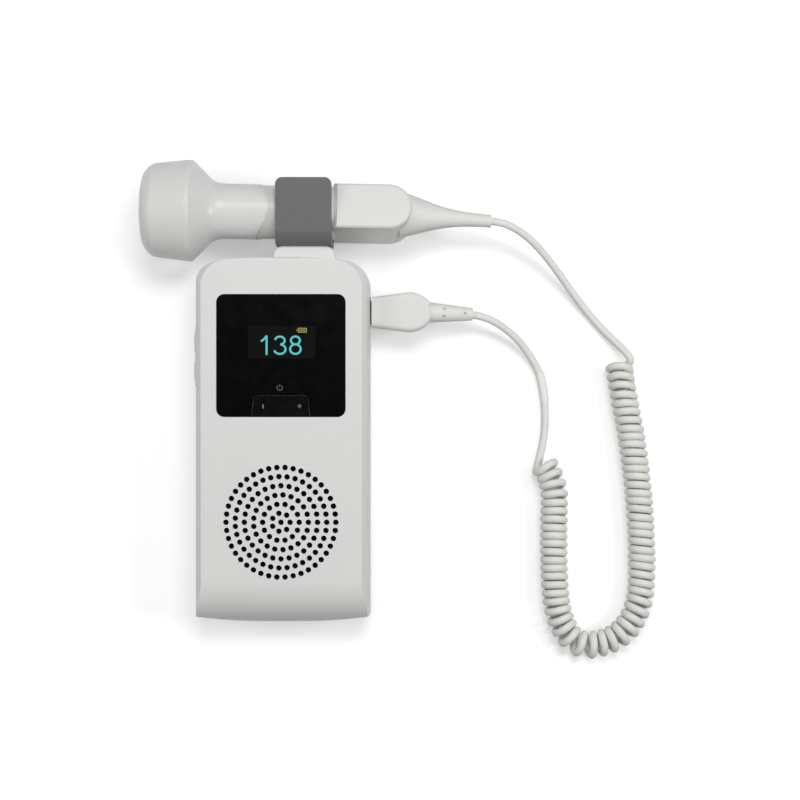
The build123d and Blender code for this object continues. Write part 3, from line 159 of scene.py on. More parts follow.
def seen_rays(tree):
    """1 for the camera's rays, and 1 for those and what they see in gloss or through glass."""
    path = tree.nodes.new("ShaderNodeLightPath")
    direct = path.outputs["Is Camera Ray"]
    seen = combined(tree, "MAXIMUM", direct, path.outputs["Is Glossy Ray"])
    seen = combined(tree, "MAXIMUM", seen, path.outputs["Is Transmission Ray"])
    return direct, seen


def make_floor():
    """A pale table that shows white to the camera and keeps the object's shadow."""
    mesh = bpy.data.meshes.new("floor")
    signs = ((-1, -1), (1, -1), (1, 1), (-1, 1))
    mesh.from_pydata([(x * FLOOR_REACH, y * FLOOR_REACH, 0) for x, y in signs], [], [(0, 1, 2, 3)])
    floor = bpy.data.objects.new("floor", mesh)
    scene.collection.objects.link(floor)

    material = bpy.data.materials.new("floor")
    material.use_nodes = True
    mesh.materials.append(material)
    tree = material.node_tree
    tree.nodes.clear()
    seen = seen_rays(tree)[1]
    matt = tree.nodes.new("ShaderNodeBsdfDiffuse")
    tone = mixed(tree, seen, FLOOR_BOUNCE, FLOOR_TONE, "FLOAT")
    tree.links.new(tone, matt.inputs["Color"])
    place = tree.nodes.new("ShaderNodeTexCoord")
    away = add(tree, "ShaderNodeVectorMath", operation="DISTANCE")
    away.inputs[1].default_value = (EYE.x, EYE.y, 0)
    tree.links.new(place.outputs["Object"], away.inputs[0])
    lift = ranged(tree, away.outputs["Value"], NEAR_FLOOR, FAR_FLOOR, NEAR_LIFT, FAR_LIFT)
    glow = tree.nodes.new("ShaderNodeEmission")
    tree.links.new(combined(tree, "MULTIPLY", seen, lift), glow.inputs["Strength"])
    both = tree.nodes.new("ShaderNodeAddShader")
    tree.links.new(matt.outputs[0], both.inputs[0])
    tree.links.new(glow.outputs[0], both.inputs[1])
    out = tree.nodes.new("ShaderNodeOutputMaterial")
    tree.links.new(both.outputs[0], out.inputs["Surface"])


def make_world():
    """White where it is seen, darker overhead in gloss; a soft sky from above as light."""
    world = bpy.data.worlds.new("studio")
    world.use_nodes = True
    scene.world = world
    tree = world.node_tree
    background = tree.nodes["Background"]
    place = tree.nodes.new("ShaderNodeTexCoord")
    up = on_axis(tree, place.outputs["Generated"], "Z")
    direct, seen = seen_rays(tree)
    light = ranged(tree, up, 0.0, OVERHEAD, *SKY_LIGHT)
    shown = ranged(tree, up, 0.0, OVERHEAD, *SKY_SHOWN)
    strength = combined(tree, "MAXIMUM", mixed(tree, seen, light, shown, "FLOAT"), direct)
    tree.links.new(strength, background.inputs["Strength"])
    background.inputs["Color"].default_value = (1, 1, 1, 1)


def make_lights():
    for name, (place, size, power) in LAMPS.items():
        data = bpy.data.lights.new(name, "AREA")
        data.shape = "RECTANGLE"
        data.size, data.size_y = size
        data.energy = power
        lamp = bpy.data.objects.new(name, data)
        lamp.location = place
        lamp.rotation_mode = "QUATERNION"
        lamp.rotation_quaternion = (LAMP_AIM - Vector(place)).to_track_quat("-Z", "Y")
        scene.collection.objects.link(lamp)


# ---- Mesh helpers ----
def link_mesh(name, bm_or_parts, body, material):
    """A mesh object from a bmesh or from (points, faces), riding on a body if it has one."""
    mesh = bpy.data.meshes.new(name)
    if isinstance(bm_or_parts, bmesh.types.BMesh):
        bm_or_parts.to_mesh(mesh)
        bm_or_parts.free()
    else:
        mesh.from_pydata(bm_or_parts[0], [], bm_or_parts[1])
    mesh.materials.append(material)
    piece = bpy.data.objects.new(name, mesh)
    scene.collection.objects.link(piece)
    if body:
        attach(piece, body)
    return piece


def nurbs_line(points, resolution):
    """Points along the NURBS spline that has these control points."""
    curve = bpy.data.curves.new("route", "CURVE")
    curve.dimensions = "3D"
    spline = curve.splines.new("NURBS")
    spline.points.add(len(points) - 1)
    for point, place in zip(spline.points, points):
        point.co = (*place, 1.0)
    spline.order_u = 3
    spline.use_endpoint_u = True
    spline.resolution_u = resolution
    holder = bpy.data.objects.new("route", curve)
    mesh = bpy.data.meshes.new_from_object(holder)
    line = np.array([v.co for v in mesh.vertices], float)
    bpy.data.meshes.remove(mesh)
    bpy.data.objects.remove(holder)
    bpy.data.curves.remove(curve)
    return line


def tube_parts(line, radii, sides):
    """Rings along a line, turned as little as possible from one to the next, and closed ends."""
    points = [Vector(p) for p in line]
    tangents = []
    for i in range(len(points)):
        before = points[max(i - 1, 0)]
        after = points[min(i + 1, len(points) - 1)]
        tangents.append((after - before).normalized())
    side = tangents[0].orthogonal().normalized()
    verts, faces = [], []
    for i, (centre, along) in enumerate(zip(points, tangents)):
        if i:
            side = tangents[i - 1].rotation_difference(along) @ side
        side = (side - along * side.dot(along)).normalized()
        other = along.cross(side)
        for k in range(sides):
            a = 2 * math.pi * k / sides
            verts.append(centre + (side * math.cos(a) + other * math.sin(a)) * radii[i])
    for i in range(len(points) - 1):
        here = i * sides
        after = here + sides
        for k in range(sides):
            following = (k + 1) % sides
            faces.append((here + k, here + following, after + following, after + k))
    faces.append(tuple(reversed(range(sides))))
    faces.append(tuple(range(len(verts) - sides, len(verts))))
    return verts, faces


def skin(bm, rings):
    """Closes a stack of rings: both end faces, and the sides between each ring and the next."""
    bm.faces.new(list(reversed(rings[0])))
    bm.faces.new(rings[-1])
    for low, high in zip(rings, rings[1:]):
        for k in range(len(low)):
            j = (k + 1) % len(low)
            bm.faces.new((low[k], low[j], high[j], high[k]))


def smooth(piece, crease):
    """Smooth shading, with edges kept sharp from an angle in degrees."""
    piece.data.shade_smooth()
    piece.data.set_sharp_from_angle(angle=math.radians(crease))


# ---- Materials ----
NOISE_RANGE = (0.3, 0.7)      # most of a noise texture's values lie between these
EDGE_REACH = 0.5 * MM         # how far wear runs in from an edge
EDGE_RANGE = (0.97, 0.85)     # how alike the plain and the rounded normal are, flat and on an edge
WEAR_SCALE = 900
WEAR_RANGE = (0.4, 0.65)      # the wear's noise between these turns from faint to full
FAINT_WEAR = 0.25
SCATTER_DEPTH = 1.2 * MM
WAVE_BAND = 0.31              # spacing of a wave texture's bands at a scale of one
JACKET_FOOT = -58.4 * MM      # where a cell's printed jacket ends, along the cells
JACKET_HEAD = -8.2 * MM
JACKET_EDGE = 0.1 * MM
DARK_GLASS = (0.004, 0.004, 0.004, 1)


def grey(level):
    return (level, level, level)


def shade(colour, by):
    return tuple(min(1.0, c * by) for c in colour)


def new_material(name):
    material = bpy.data.materials.new(name)
    material.use_nodes = True
    tree = material.node_tree
    shader = tree.nodes["Principled BSDF"]
    place = tree.nodes.new("ShaderNodeTexCoord").outputs["Object"]
    return material, tree, shader, place


def gloss(tree, shader, texture, low, high):
    """Roughness that follows a noise between two values."""
    tree.links.new(ranged(tree, texture, *NOISE_RANGE, low, high), shader.inputs["Roughness"])


def relief(tree, shader, height, strength, depth):
    """Bump from a height."""
    bump = add(tree, "ShaderNodeBump", Strength=strength, Distance=depth)
    tree.links.new(height, bump.inputs["Height"])
    tree.links.new(bump.outputs[0], shader.inputs["Normal"])


def edge_mask(tree):
    """1 on convex and concave edges, 0 on flat surface."""
    rounded = add(tree, "ShaderNodeBevel", samples=4, Radius=EDGE_REACH)
    plain = tree.nodes.new("ShaderNodeNewGeometry")
    dot = add(tree, "ShaderNodeVectorMath", operation="DOT_PRODUCT")
    tree.links.new(rounded.outputs[0], dot.inputs[0])
    tree.links.new(plain.outputs["Normal"], dot.inputs[1])
    return ranged(tree, dot.outputs["Value"], *EDGE_RANGE, 0.0, 1.0)


def moulded(name, colour, roughness, tone=0.025, tone_scale=35, grain=0.15, grain_scale=2600,
            spread=0.06, worn=None, specular=0.5, scatter=0.0):
    """Moulded plastic or rubber: faint mottling, a fine spark-eroded grain and uneven gloss."""
    material, tree, shader, place = new_material(name)
    mottling = noise(tree, place, tone_scale, 4)
    tint = mixed(tree, mottling, shade(colour, 1 - tone), shade(colour, 1 + tone))
    if worn:
        rubbed = ranged(tree, noise(tree, place, WEAR_SCALE, 4), *WEAR_RANGE, FAINT_WEAR, 1.0)
        tint = mixed(tree, combined(tree, "MULTIPLY", edge_mask(tree), rubbed), tint, worn)
    tree.links.new(tint, shader.inputs["Base Color"])
    uneven = noise(tree, place, tone_scale * 9, 5)
    gloss(tree, shader, uneven, roughness - spread, roughness + spread)
    relief(tree, shader, noise(tree, place, grain_scale, 2), strength=grain, depth=0.04 * MM)
    shader.inputs["Specular IOR Level"].default_value = specular
    if scatter:
        shader.inputs["Subsurface Weight"].default_value = scatter
        shader.inputs["Subsurface Scale"].default_value = SCATTER_DEPTH
        shader.inputs["Subsurface Radius"].default_value = (1.0, 0.9, 0.8)
    return material


def metal(name, colour, roughness, brushed=(1, 1, 1), scale=900):
    """Bright metal with fine drawn or brushed lines and faint stains."""
    material, tree, shader, place = new_material(name)
    shader.inputs["Metallic"].default_value = 1.0
    stains = ranged(tree, noise(tree, place, 120, 4), 0.35, 0.7, 0, 1)
    tree.links.new(mixed(tree, stains, colour, shade(colour, 0.8)), shader.inputs["Base Color"])
    stretch = add(tree, "ShaderNodeMapping", Scale=brushed)
    tree.links.new(place, stretch.inputs["Vector"])
    lines = noise(tree, stretch.outputs[0], scale, 5)
    gloss(tree, shader, lines, roughness - 0.1, roughness + 0.12)
    relief(tree, shader, lines, strength=0.12, depth=0.02 * MM)
    return material


def woven(name, colour, pitch):
    """Fine black acoustic cloth: two crossed sets of threads."""
    material, tree, shader, place = new_material(name)
    threads = []
    for axis in ("X", "Y"):
        wave = add(tree, "ShaderNodeTexWave", wave_type="BANDS", bands_direction=axis,
                   Scale=WAVE_BAND / pitch)
        tree.links.new(place, wave.inputs["Vector"])
        threads.append(wave.outputs["Fac"])
    top = combined(tree, "MAXIMUM", *threads)
    tree.links.new(mixed(tree, top, shade(colour, 0.4), colour), shader.inputs["Base Color"])
    shader.inputs["Roughness"].default_value = 0.9
    shader.inputs["Specular IOR Level"].default_value = 0.15
    relief(tree, shader, top, strength=0.5, depth=0.05 * MM)
    return material


def board(name, colour, trace):
    """Circuit board: solder mask over fine copper tracks."""
    material, tree, shader, place = new_material(name)
    bricks = add(tree, "ShaderNodeTexBrick", offset=0.37, squash=0.6, Scale=260)
    bricks.inputs["Mortar Size"].default_value = 0.06
    feed(tree, bricks.inputs["Color1"], colour)
    feed(tree, bricks.inputs["Color2"], shade(colour, 0.9))
    feed(tree, bricks.inputs["Mortar"], trace)
    tree.links.new(place, bricks.inputs["Vector"])
    wide = noise(tree, place, 60, 4)
    veil = ranged(tree, wide, *NOISE_RANGE, 0.0, 0.35)
    tint = mixed(tree, veil, bricks.outputs["Color"], colour)
    tree.links.new(tint, shader.inputs["Base Color"])
    gloss(tree, shader, wide, 0.25, 0.4)
    relief(tree, shader, bricks.outputs["Fac"], strength=0.2, depth=0.03 * MM)
    return material


def cell_jacket(name, dark, light, steel):
    """A plain battery: printed jacket with bare steel at both ends."""
    material, tree, shader, place = new_material(name)
    along = on_axis(tree, place, "Y")
    lines = noise(tree, place, 300, 4)
    foot = ranged(tree, along, JACKET_FOOT, JACKET_FOOT + JACKET_EDGE, 1.0, 0.0)
    head = ranged(tree, along, JACKET_HEAD - JACKET_EDGE, JACKET_HEAD, 0.0, 1.0)
    ends = combined(tree, "MAXIMUM", foot, head)
    tint = mixed(tree, ends, mixed(tree, lines, dark, light), steel)
    tree.links.new(tint, shader.inputs["Base Color"])
    tree.links.new(ends, shader.inputs["Metallic"])
    gloss(tree, shader, lines, 0.22, 0.34)
    return material


def lit(name, colour):
    """A lit display segment, with the faint unevenness of its pixels."""
    material, tree, shader, place = new_material(name)
    pixels = noise(tree, place, 5200, 1)
    tint = mixed(tree, pixels, shade(colour, 0.93), shade(colour, 1.07))
    tree.links.new(tint, shader.inputs["Emission Color"])
    shader.inputs["Emission Strength"].default_value = 1.0
    shader.inputs["Base Color"].default_value = DARK_GLASS
    gloss(tree, shader, pixels, 0.2, 0.3)
    return material


finishes = {}
WORN_WHITE = (0.86, 0.86, 0.85)


def add_finish(maker, name, *look, **more):
    """Makes the material for the slot of that name."""
    finishes[name] = maker(name, *look, **more)


add_finish(moulded, "case_white", (0.80, 0.80, 0.785), 0.42, worn=WORN_WHITE)
add_finish(moulded, "window_black", grey(0.0012), 0.19, tone=0.10, tone_scale=20,
           grain=0.01, grain_scale=900, spread=0.03, specular=0.4)
add_finish(moulded, "key_black", grey(0.0018), 0.28, tone=0.1, tone_scale=60,
           grain=0.03, spread=0.04, specular=0.25)
add_finish(moulded, "key_white", (0.78, 0.78, 0.765), 0.40, worn=WORN_WHITE)
add_finish(moulded, "tape_black", grey(0.02), 0.8, tone=0.1)
add_finish(moulded, "panel_glass", (0.015, 0.015, 0.018), 0.10, tone=0.2, tone_scale=90,
           grain=0.01, grain_scale=900, spread=0.03)
add_finish(moulded, "holder_grey", (0.25, 0.25, 0.26), 0.55, tone=0.05)
add_finish(moulded, "flex_amber", (0.55, 0.22, 0.03), 0.35, tone=0.15, tone_scale=150,
           grain=0.2, grain_scale=1500)
add_finish(board, "board_green", (0.012, 0.10, 0.045), trace=(0.03, 0.20, 0.09))
add_finish(moulded, "chip_black", (0.018, 0.018, 0.019), 0.6, tone=0.2, tone_scale=200,
           grain=0.4, grain_scale=3000)
add_finish(moulded, "capacitor_sleeve", (0.02, 0.035, 0.08), 0.3, tone=0.1, tone_scale=200)
add_finish(metal, "tinned_steel", (0.66, 0.66, 0.64), 0.34, brushed=(1, 8, 1))
add_finish(metal, "screw_steel", (0.50, 0.49, 0.47), 0.36, scale=1500)
add_finish(moulded, "switch_black", grey(0.03), 0.5)
add_finish(woven, "speaker_cloth", grey(0.003), pitch=0.4 * MM)
add_finish(metal, "speaker_steel", grey(0.40), 0.42, scale=700)
add_finish(moulded, "magnet_grey", (0.06, 0.06, 0.065), 0.55, tone=0.2, tone_scale=150,
           grain=0.5, grain_scale=900)
add_finish(moulded, "cone_paper", (0.05, 0.048, 0.045), 0.85, tone=0.25, tone_scale=300,
           grain=0.6, grain_scale=1200)
add_finish(moulded, "socket_black", grey(0.02), 0.45)
add_finish(metal, "contact_brass", (0.78, 0.56, 0.25), 0.25, brushed=(6, 1, 1))
add_finish(metal, "spring_steel", (0.62, 0.61, 0.58), 0.28, scale=1200)
add_finish(cell_jacket, "cell_jacket", dark=(0.035, 0.08, 0.12), light=(0.045, 0.10, 0.15),
           steel=(0.72, 0.71, 0.68))
add_finish(moulded, "clip_grey", grey(0.142), 0.50, tone=0.04, tone_scale=60,
           grain=0.3, worn=grey(0.25))
add_finish(moulded, "probe_white", (0.78, 0.78, 0.765), 0.32, spread=0.015, worn=WORN_WHITE)
add_finish(moulded, "crystal_ceramic", (0.55, 0.50, 0.38), 0.4, tone=0.08, tone_scale=200,
           grain=0.3, grain_scale=1800)
add_finish(moulded, "backing_dark", (0.05, 0.045, 0.04), 0.7, tone=0.25, tone_scale=200,
           grain=0.6, grain_scale=900)
add_finish(moulded, "seal_grey", grey(0.30), 0.7, tone=0.05)
add_finish(moulded, "soft_white", (0.82, 0.82, 0.79), 0.55, tone=0.03, tone_scale=60,
           grain=0.25, grain_scale=1800, scatter=0.08)
add_finish(moulded, "plug_white", (0.80, 0.80, 0.77), 0.45, tone=0.03, tone_scale=60,
           grain=0.2, worn=(0.86, 0.86, 0.84))
add_finish(moulded, "core_black", grey(0.02), 0.4)
add_finish(moulded, "cord_white", (0.84, 0.84, 0.80), 0.55, tone=0.04, tone_scale=140,
           grain=0.45, grain_scale=1900)


def dress_cad():
    """Every CAD node that stays gets the full material of its slot."""
    for node in nodes.values():
        for holder in node.material_slots:
            holder.material = finishes[holder.material.name.split(".")[0]]


# ---- Cord, from the probe through the coil to the sleeve ----
WIRE = 2.9 * MM
COIL = 10.65 * MM             # outer diameter
WIRE_SIDES = 16
SLEEVE_SIDES = 24
CORD_CREASE = 60              # degrees
SLEEVE_RADIUS = 1.7 * MM      # the sleeve's ends are rounded over two smaller rings
SLEEVE_END = 1.5 * MM
SLEEVE_SHOULDER = 1.66 * MM

# Control points of each stretch, in millimetres.
probe_lead_route = [
    (76.4, 83.6, 19.5), (79.4, 83.2, 19.4), (85.5, 82.3, 18.8), (94.2, 77.3, 14.4),
    (102.6, 68.6, 8.9), (109.6, 59.4, 4.6), (116.8, 50.0, 2.0), (124.4, 41.6, 2.0),
    (130.0, 36.2, 3.4), (133.2, 32.6, 5.0), (134.1, 30.6, 5.0),
]
coil_route = [
    (129.1, 30.0, 5.4), (130.7, 18.0, 5.4), (134.0, 3.0, 5.4), (137.4, -24.0, 5.4),
    (138.4, -52.0, 5.4), (136.6, -67.0, 5.4), (128.2, -77.5, 5.4), (113.0, -80.4, 5.4),
    (105.6, -68.9, 5.4), (104.0, -52.0, 5.4), (104.0, -30.0, 5.4), (104.6, -17.0, 5.4),
    (100.4, -9.5, 5.4),
]
sleeve_lead_route = [
    (97.2, -12.4, 3.0), (97.9, -10.2, 1.6), (99.0, -6.0, 1.5), (100.2, -1.0, 1.5),
    (101.0, 5.6, 1.5), (100.9, 11.0, 1.7), (100.7, 14.4, 1.8), (100.2, 17.4, 1.8),
]
plug_lead_route = [
    (69.6, 48.4, 13.3), (72.4, 48.2, 13.2), (78.6, 46.7, 11.8), (84.6, 43.4, 8.8),
    (90.6, 38.4, 5.6), (95.4, 32.2, 3.0), (98.9, 25.7, 1.9), (99.6, 22.6, 1.9),
]
sleeve_route = [
    (98.7, 26.1, 1.9), (99.8, 21.8, 1.85), (100.5, 17.6, 1.8), (100.9, 14.2, 1.8),
]

TURNS = 58
FIRST_TURN = 0.06             # the lead meets the coil this far into its first turn
POINTS_PER_TURN = 16
SPLINE_SHARE = 0.981          # the spline runs at this share of its control points' radius
TOP_OF_TURN = 0.75            # the wire passes over the top three quarters through each turn
AXIS_RESOLUTION = 24
AXIS_SAMPLES = 3000
BEND_WINDOW = 161             # samples over which the axis's bend is averaged, an odd number
SPACING_ROUNDS = 4
WOBBLE = 0.012                # share by which the turns' width wanders
DRIFT = 0.12 * MM             # how far they wander along the coil

# Along the coil, as (turns, values): how wide the turns sit in millimetres, and the slopes by which
# they turn in plan and lean.
pitch_by_turn = (
    [0, 1, 2, 3, 4, 8, 56, 57, 58],
    [3.89, 3.65, 3.4, 3.4, 3.2, 3.13, 3.15, 3.4, 3.5],
)
yaw_by_turn = (
    [0, 5, 15, 26, 29, 30, 31, 32, 33, 34, 35, 36, 37,
     38, 39, 40, 41, 50, 51, 52, 53, 54, 55, 56, 57],
    [-0.05, -0.02, -0.02, 0.02, 0.04, 0.10, 0.16, 0.16, 0.12, 0.06, 0.08, 0.17, 0.26,
     0.27, 0.23, 0.17, 0.11, 0.11, 0.14, 0.19, 0.23, 0.20, 0.12, 0.22, 0.28],
)
lean_by_turn = (
    [0, 1, 3, 6, 28, 34, 42, 56, 58],
    [-0.42, -0.38, -0.25, -0.12, -0.08, 0.0, 0.12, 0.12, 0.05],
)


def coil_points():
    """The curly stretch: control points round the coil's axis, one turn after another."""
    axis = nurbs_line(np.array(coil_route) * MM, AXIS_RESOLUTION)
    steps = np.linalg.norm(np.diff(axis, axis=0), axis=1)
    along = np.concatenate([[0], np.cumsum(steps)])
    fine = np.linspace(0, along[-1], AXIS_SAMPLES)
    centre = np.stack([np.interp(fine, along, axis[:, k]) for k in range(3)], axis=1)
    forward = np.gradient(centre, fine, axis=0)
    forward /= np.linalg.norm(forward, axis=1)[:, None]

    # The turns keep their pitch on the inside of the axis's bends.
    heading = np.unwrap(np.arctan2(forward[:, 1], forward[:, 0]))
    bend = np.pad(np.abs(np.gradient(heading, fine)), BEND_WINDOW // 2, mode="edge")
    bend = np.convolve(bend, np.ones(BEND_WINDOW) / BEND_WINDOW, mode="valid")
    radius = (COIL - WIRE) / 2
    turn = np.linspace(0, TURNS, len(fine))
    for _ in range(SPACING_ROUNDS):
        pitch = np.interp(turn, *pitch_by_turn) * MM / (1 - radius * bend)
        turn = np.concatenate([[0], np.cumsum((fine[1] - fine[0]) / pitch[1:])])
        turn *= TURNS / turn[-1]

    points = []
    count = int(round((TURNS - FIRST_TURN) * POINTS_PER_TURN))
    for i in range(count + 1):
        t = FIRST_TURN + (TURNS - FIRST_TURN) * i / count
        s = np.interp(t, turn, fine)
        at = Vector([np.interp(s, fine, centre[:, k]) for k in range(3)])
        ahead = Vector([np.interp(s, fine, forward[:, k]) for k in range(3)]).normalized()
        outer = Vector((0, 0, 1)).cross(ahead).normalized()
        wobble = 1 + WOBBLE * math.sin(2.3 * t) * math.sin(0.71 * t + 1.0)
        out = radius / SPLINE_SHARE * math.cos(-2 * math.pi * t) * wobble
        up = radius / SPLINE_SHARE * math.sin(-2 * math.pi * t)
        top = t - TOP_OF_TURN
        slip = -np.interp(top, *yaw_by_turn) * out + np.interp(top, *lean_by_turn) * up
        slip += DRIFT * math.sin(1.7 * t + 0.5)
        points.append(at + outer * out + Vector((0, 0, up)) + ahead * slip)
    return points


def wire_piece(name, line):
    """A stretch of the cord's wire, which runs between two bodies and rides on none."""
    parts = tube_parts(line, [WIRE / 2] * len(line), WIRE_SIDES)
    piece = link_mesh(name, parts, None, finishes["cord_white"])
    smooth(piece, CORD_CREASE)
    return piece


def make_cords():
    control = [Vector(p) * MM for p in probe_lead_route]
    control += coil_points()
    control += [Vector(p) * MM for p in sleeve_lead_route]
    line = nurbs_line(control, 3)
    cord = wire_piece("cord", line)
    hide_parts("probe_lead", "cord_coil", "sleeve_lead")
    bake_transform(cord)

    sleeve_line = nurbs_line(np.array(sleeve_route) * MM, 12)
    radii = [SLEEVE_RADIUS] * len(sleeve_line)
    radii[0] = radii[-1] = SLEEVE_END
    radii[1] = radii[-2] = SLEEVE_SHOULDER
    pale = moulded("sleeve_white", (0.90, 0.90, 0.87), 0.5, tone=0.03, tone_scale=90,
                   grain=0.2, grain_scale=1800)
    sleeve = link_mesh("lead_sleeve", tube_parts(sleeve_line, radii, SLEEVE_SIDES), "main_unit",
                       pale)
    smooth(sleeve, CORD_CREASE)
    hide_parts("cord_sleeve")

    plug_line = nurbs_line(np.array(plug_lead_route) * MM, 16)
    lead = wire_piece("plug_cord", plug_line)
    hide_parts("plug_lead")
    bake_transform(lead)


# ---- Flat figures ----
WINDOW_TOP = 28.9             # heights of the window's and the key's faces, in millimetres
KEY_TOP = 29.15
FIGURE_DEPTH = 0.02
MITRE_LIMIT = 0.5             # a strip widens at a corner to twice its width at most

# One pixel of the photograph's frame at the window's face.
PIXEL = (EYE.z - WINDOW_TOP * MM) * SENSOR / (LENS * FRAME_PIXELS)


def on_window(px, py):
    """Plan place on the window's face of a point of the photograph's frame."""
    half = FRAME_PIXELS / 2
    return (EYE.x + (px - half) * PIXEL, EYE.y + (half - py) * PIXEL)


def arc(cx, cy, rx, ry, start, end, count):
    """Points on an ellipse, angles in degrees, anticlockwise from the right."""
    angles = [math.radians(start + (end - start) * i / count) for i in range(count + 1)]
    return [(cx + rx * math.cos(a), cy + ry * math.sin(a)) for a in angles]


def rounded_outline(x0, y0, x1, y1, r, count=5):
    """A rectangle with rounded corners, anticlockwise."""
    corners = [(x1 - r, y1 - r), (x0 + r, y1 - r), (x0 + r, y0 + r), (x1 - r, y0 + r)]
    points = []
    for n, (cx, cy) in enumerate(corners):
        points += arc(cx, cy, r, r, 90 * n, 90 * n + 90, count)
    return points


def add_strip(bm, points, width, low, high, closed):
    """A flat bar of constant width along a line in plan, as a thin closed solid."""
    line = [Vector(p) for p in points]
    last = len(line) - 1
    rings = []
    for i, p in enumerate(line):
        before = line[i - 1] if i or closed else None
        after = line[(i + 1) % len(line)] if i < last or closed else None
        dirs = [(p - before).normalized()] if before is not None else []
        dirs += [(after - p).normalized()] if after is not None else []
        mean = sum(dirs, Vector((0, 0))).normalized()
        across = Vector((-mean.y, mean.x))
        square = Vector((-dirs[0].y, dirs[0].x))
        reach = width / 2 / max(MITRE_LIMIT, across.dot(square))
        left, right = p + across * reach, p - across * reach
        section = ((left, low), (right, low), (right, high), (left, high))
        rings.append([bm.verts.new((v.x, v.y, z)) for v, z in section])
    pairs = list(zip(rings, rings[1:])) + ([(rings[-1], rings[0])] if closed else [])
    for a, b in pairs:
        for k in range(4):
            bm.faces.new((a[k], b[k], b[(k + 1) % 4], a[(k + 1) % 4]))
    if not closed:
        bm.faces.new(rings[0])
        bm.faces.new(list(reversed(rings[-1])))


def figure_mesh(name, strokes, width, base, material, body="main_unit"):
    """Strokes of one width, each (points, closed), standing on a face at that height."""
    bm = bmesh.new()
    for points, closed in strokes:
        add_strip(bm, points, width, base * MM, (base + FIGURE_DEPTH) * MM, closed)
    bmesh.ops.recalc_face_normals(bm, faces=bm.faces)
    return link_mesh(name, bm, body, material)


# ---- Case screws ----
SCREW_HEAD = 2.3              # radii, widths and heights, in millimetres
SCREW_HEAD_HEIGHT = 1.6
SCREW_SHANK = 1.2
SCREW_TIP = 0.35              # the tip's share of the shank's radius
SCREW_TIP_HEIGHT = 1.0
SCREW_SIDES = 40
CROSS_REACH = 1.35
CROSS_WIDTH = 0.62
CROSS_DEPTH = 0.9
CROSS_CLEARANCE = 0.3         # how far the cutter stands out of the head
CROSS_BOTTOM = 0.45           # the recess's share of its width at the bottom
CROSS_TURN = 0.4              # the first recess's turn, and each one's more, in radians
CROSS_STEP = 1.1
SCREW_CREASE = 30             # degrees


def turned(bm, at, profile):
    """A turned solid standing on a point: profile is a list of (radius, height)."""
    angles = [2 * math.pi * k / SCREW_SIDES for k in range(SCREW_SIDES)]
    rings = []
    for radius, height in profile:
        ring = []
        for a in angles:
            x = at[0] + radius * MM * math.cos(a)
            y = at[1] + radius * MM * math.sin(a)
            ring.append(bm.verts.new((x, y, at[2] + height * MM)))
        rings.append(ring)
    skin(bm, rings)


def add_cross(bm, at, turn):
    """The shape that presses a cross recess into a screw's outer face, narrower at its bottom."""
    for angle in (turn, turn + math.pi / 2):
        along = Vector((math.cos(angle), math.sin(angle)))
        across = Vector((-along.y, along.x))
        rings = []
        for depth, share in ((-CROSS_CLEARANCE, 1.0), (CROSS_DEPTH, CROSS_BOTTOM)):
            ring = []
            for u, v in ((-1, -1), (1, -1), (1, 1), (-1, 1)):
                spot = along * u * CROSS_REACH * MM * share
                spot += across * v * CROSS_WIDTH * MM * share / 2
                ring.append(bm.verts.new((at[0] + spot.x, at[1] + spot.y, at[2] + depth * MM)))
            rings.append(ring)
        skin(bm, rings)


def make_case_screws():
    """The four screws that hold the case, seen from the back, each with a cross recess."""
    low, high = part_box("case_screws")
    length = (high[2] - low[2]) / MM
    profile = [
        (SCREW_HEAD - 0.25, 0.0), (SCREW_HEAD - 0.07, 0.08), (SCREW_HEAD, 0.28),
        (SCREW_HEAD, SCREW_HEAD_HEIGHT), (SCREW_SHANK, SCREW_HEAD_HEIGHT),
        (SCREW_SHANK, length - SCREW_TIP_HEIGHT), (SCREW_SHANK * SCREW_TIP, length),
    ]
    places = [(x, y) for y in (low[1] + SCREW_HEAD * MM, high[1] - SCREW_HEAD * MM)
              for x in (low[0] + SCREW_HEAD * MM, high[0] - SCREW_HEAD * MM)]
    bm = bmesh.new()
    crosses = bmesh.new()
    for n, (x, y) in enumerate(places):
        turned(bm, (x, y, low[2]), profile)
        add_cross(crosses, (x, y, low[2]), CROSS_TURN + CROSS_STEP * n)
    screws = link_mesh("case_screw_set", bm, "main_unit", finishes["screw_steel"])
    tool_mesh = bpy.data.meshes.new("crosses")
    crosses.to_mesh(tool_mesh)
    crosses.free()
    tool = bpy.data.objects.new("crosses", tool_mesh)
    scene.collection.objects.link(tool)
    cut = screws.modifiers.new("cross", "BOOLEAN")
    cut.object = tool
    cut.solver = "EXACT"
    cut.use_self = True
    bpy.context.view_layer.update()
    cut_screws = screws.evaluated_get(bpy.context.evaluated_depsgraph_get())
    result = bpy.data.meshes.new_from_object(cut_screws)
    screws.modifiers.clear()
    uncut = screws.data
    screws.data = result
    bpy.data.meshes.remove(uncut)
    bpy.data.objects.remove(tool)
    bpy.data.meshes.remove(tool_mesh)
    result.materials.clear()
    result.materials.append(finishes["screw_steel"])
    smooth(screws, SCREW_CREASE)
    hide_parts("case_screws")


# ---- Display and key marks, at places in pixels of the photograph's frame ----
FIGURE_STROKE = 2.0           # pixels
ICON_STROKE = 0.68
FIGURE_TOP = WINDOW_TOP + 0.02              # the lit figures stand clear of the lit area
LIT_AREA = (248.1, 358.5, 315.4, 326.0)     # two opposite corners
LIT_AREA_TOP = WINDOW_TOP + 0.015
BATTERY = (298.3, 332.2, 306.4, 328.2)      # two opposite corners
BATTERY_BARS = (300.0, 301.6, 303.2, 304.8)
BATTERY_NUB = 297.1
POWER_MARK = (279.7, 387.6)
MINUS_MARK = (263.1, 406.5)
PLUS_MARK = (299.6, 406.1)


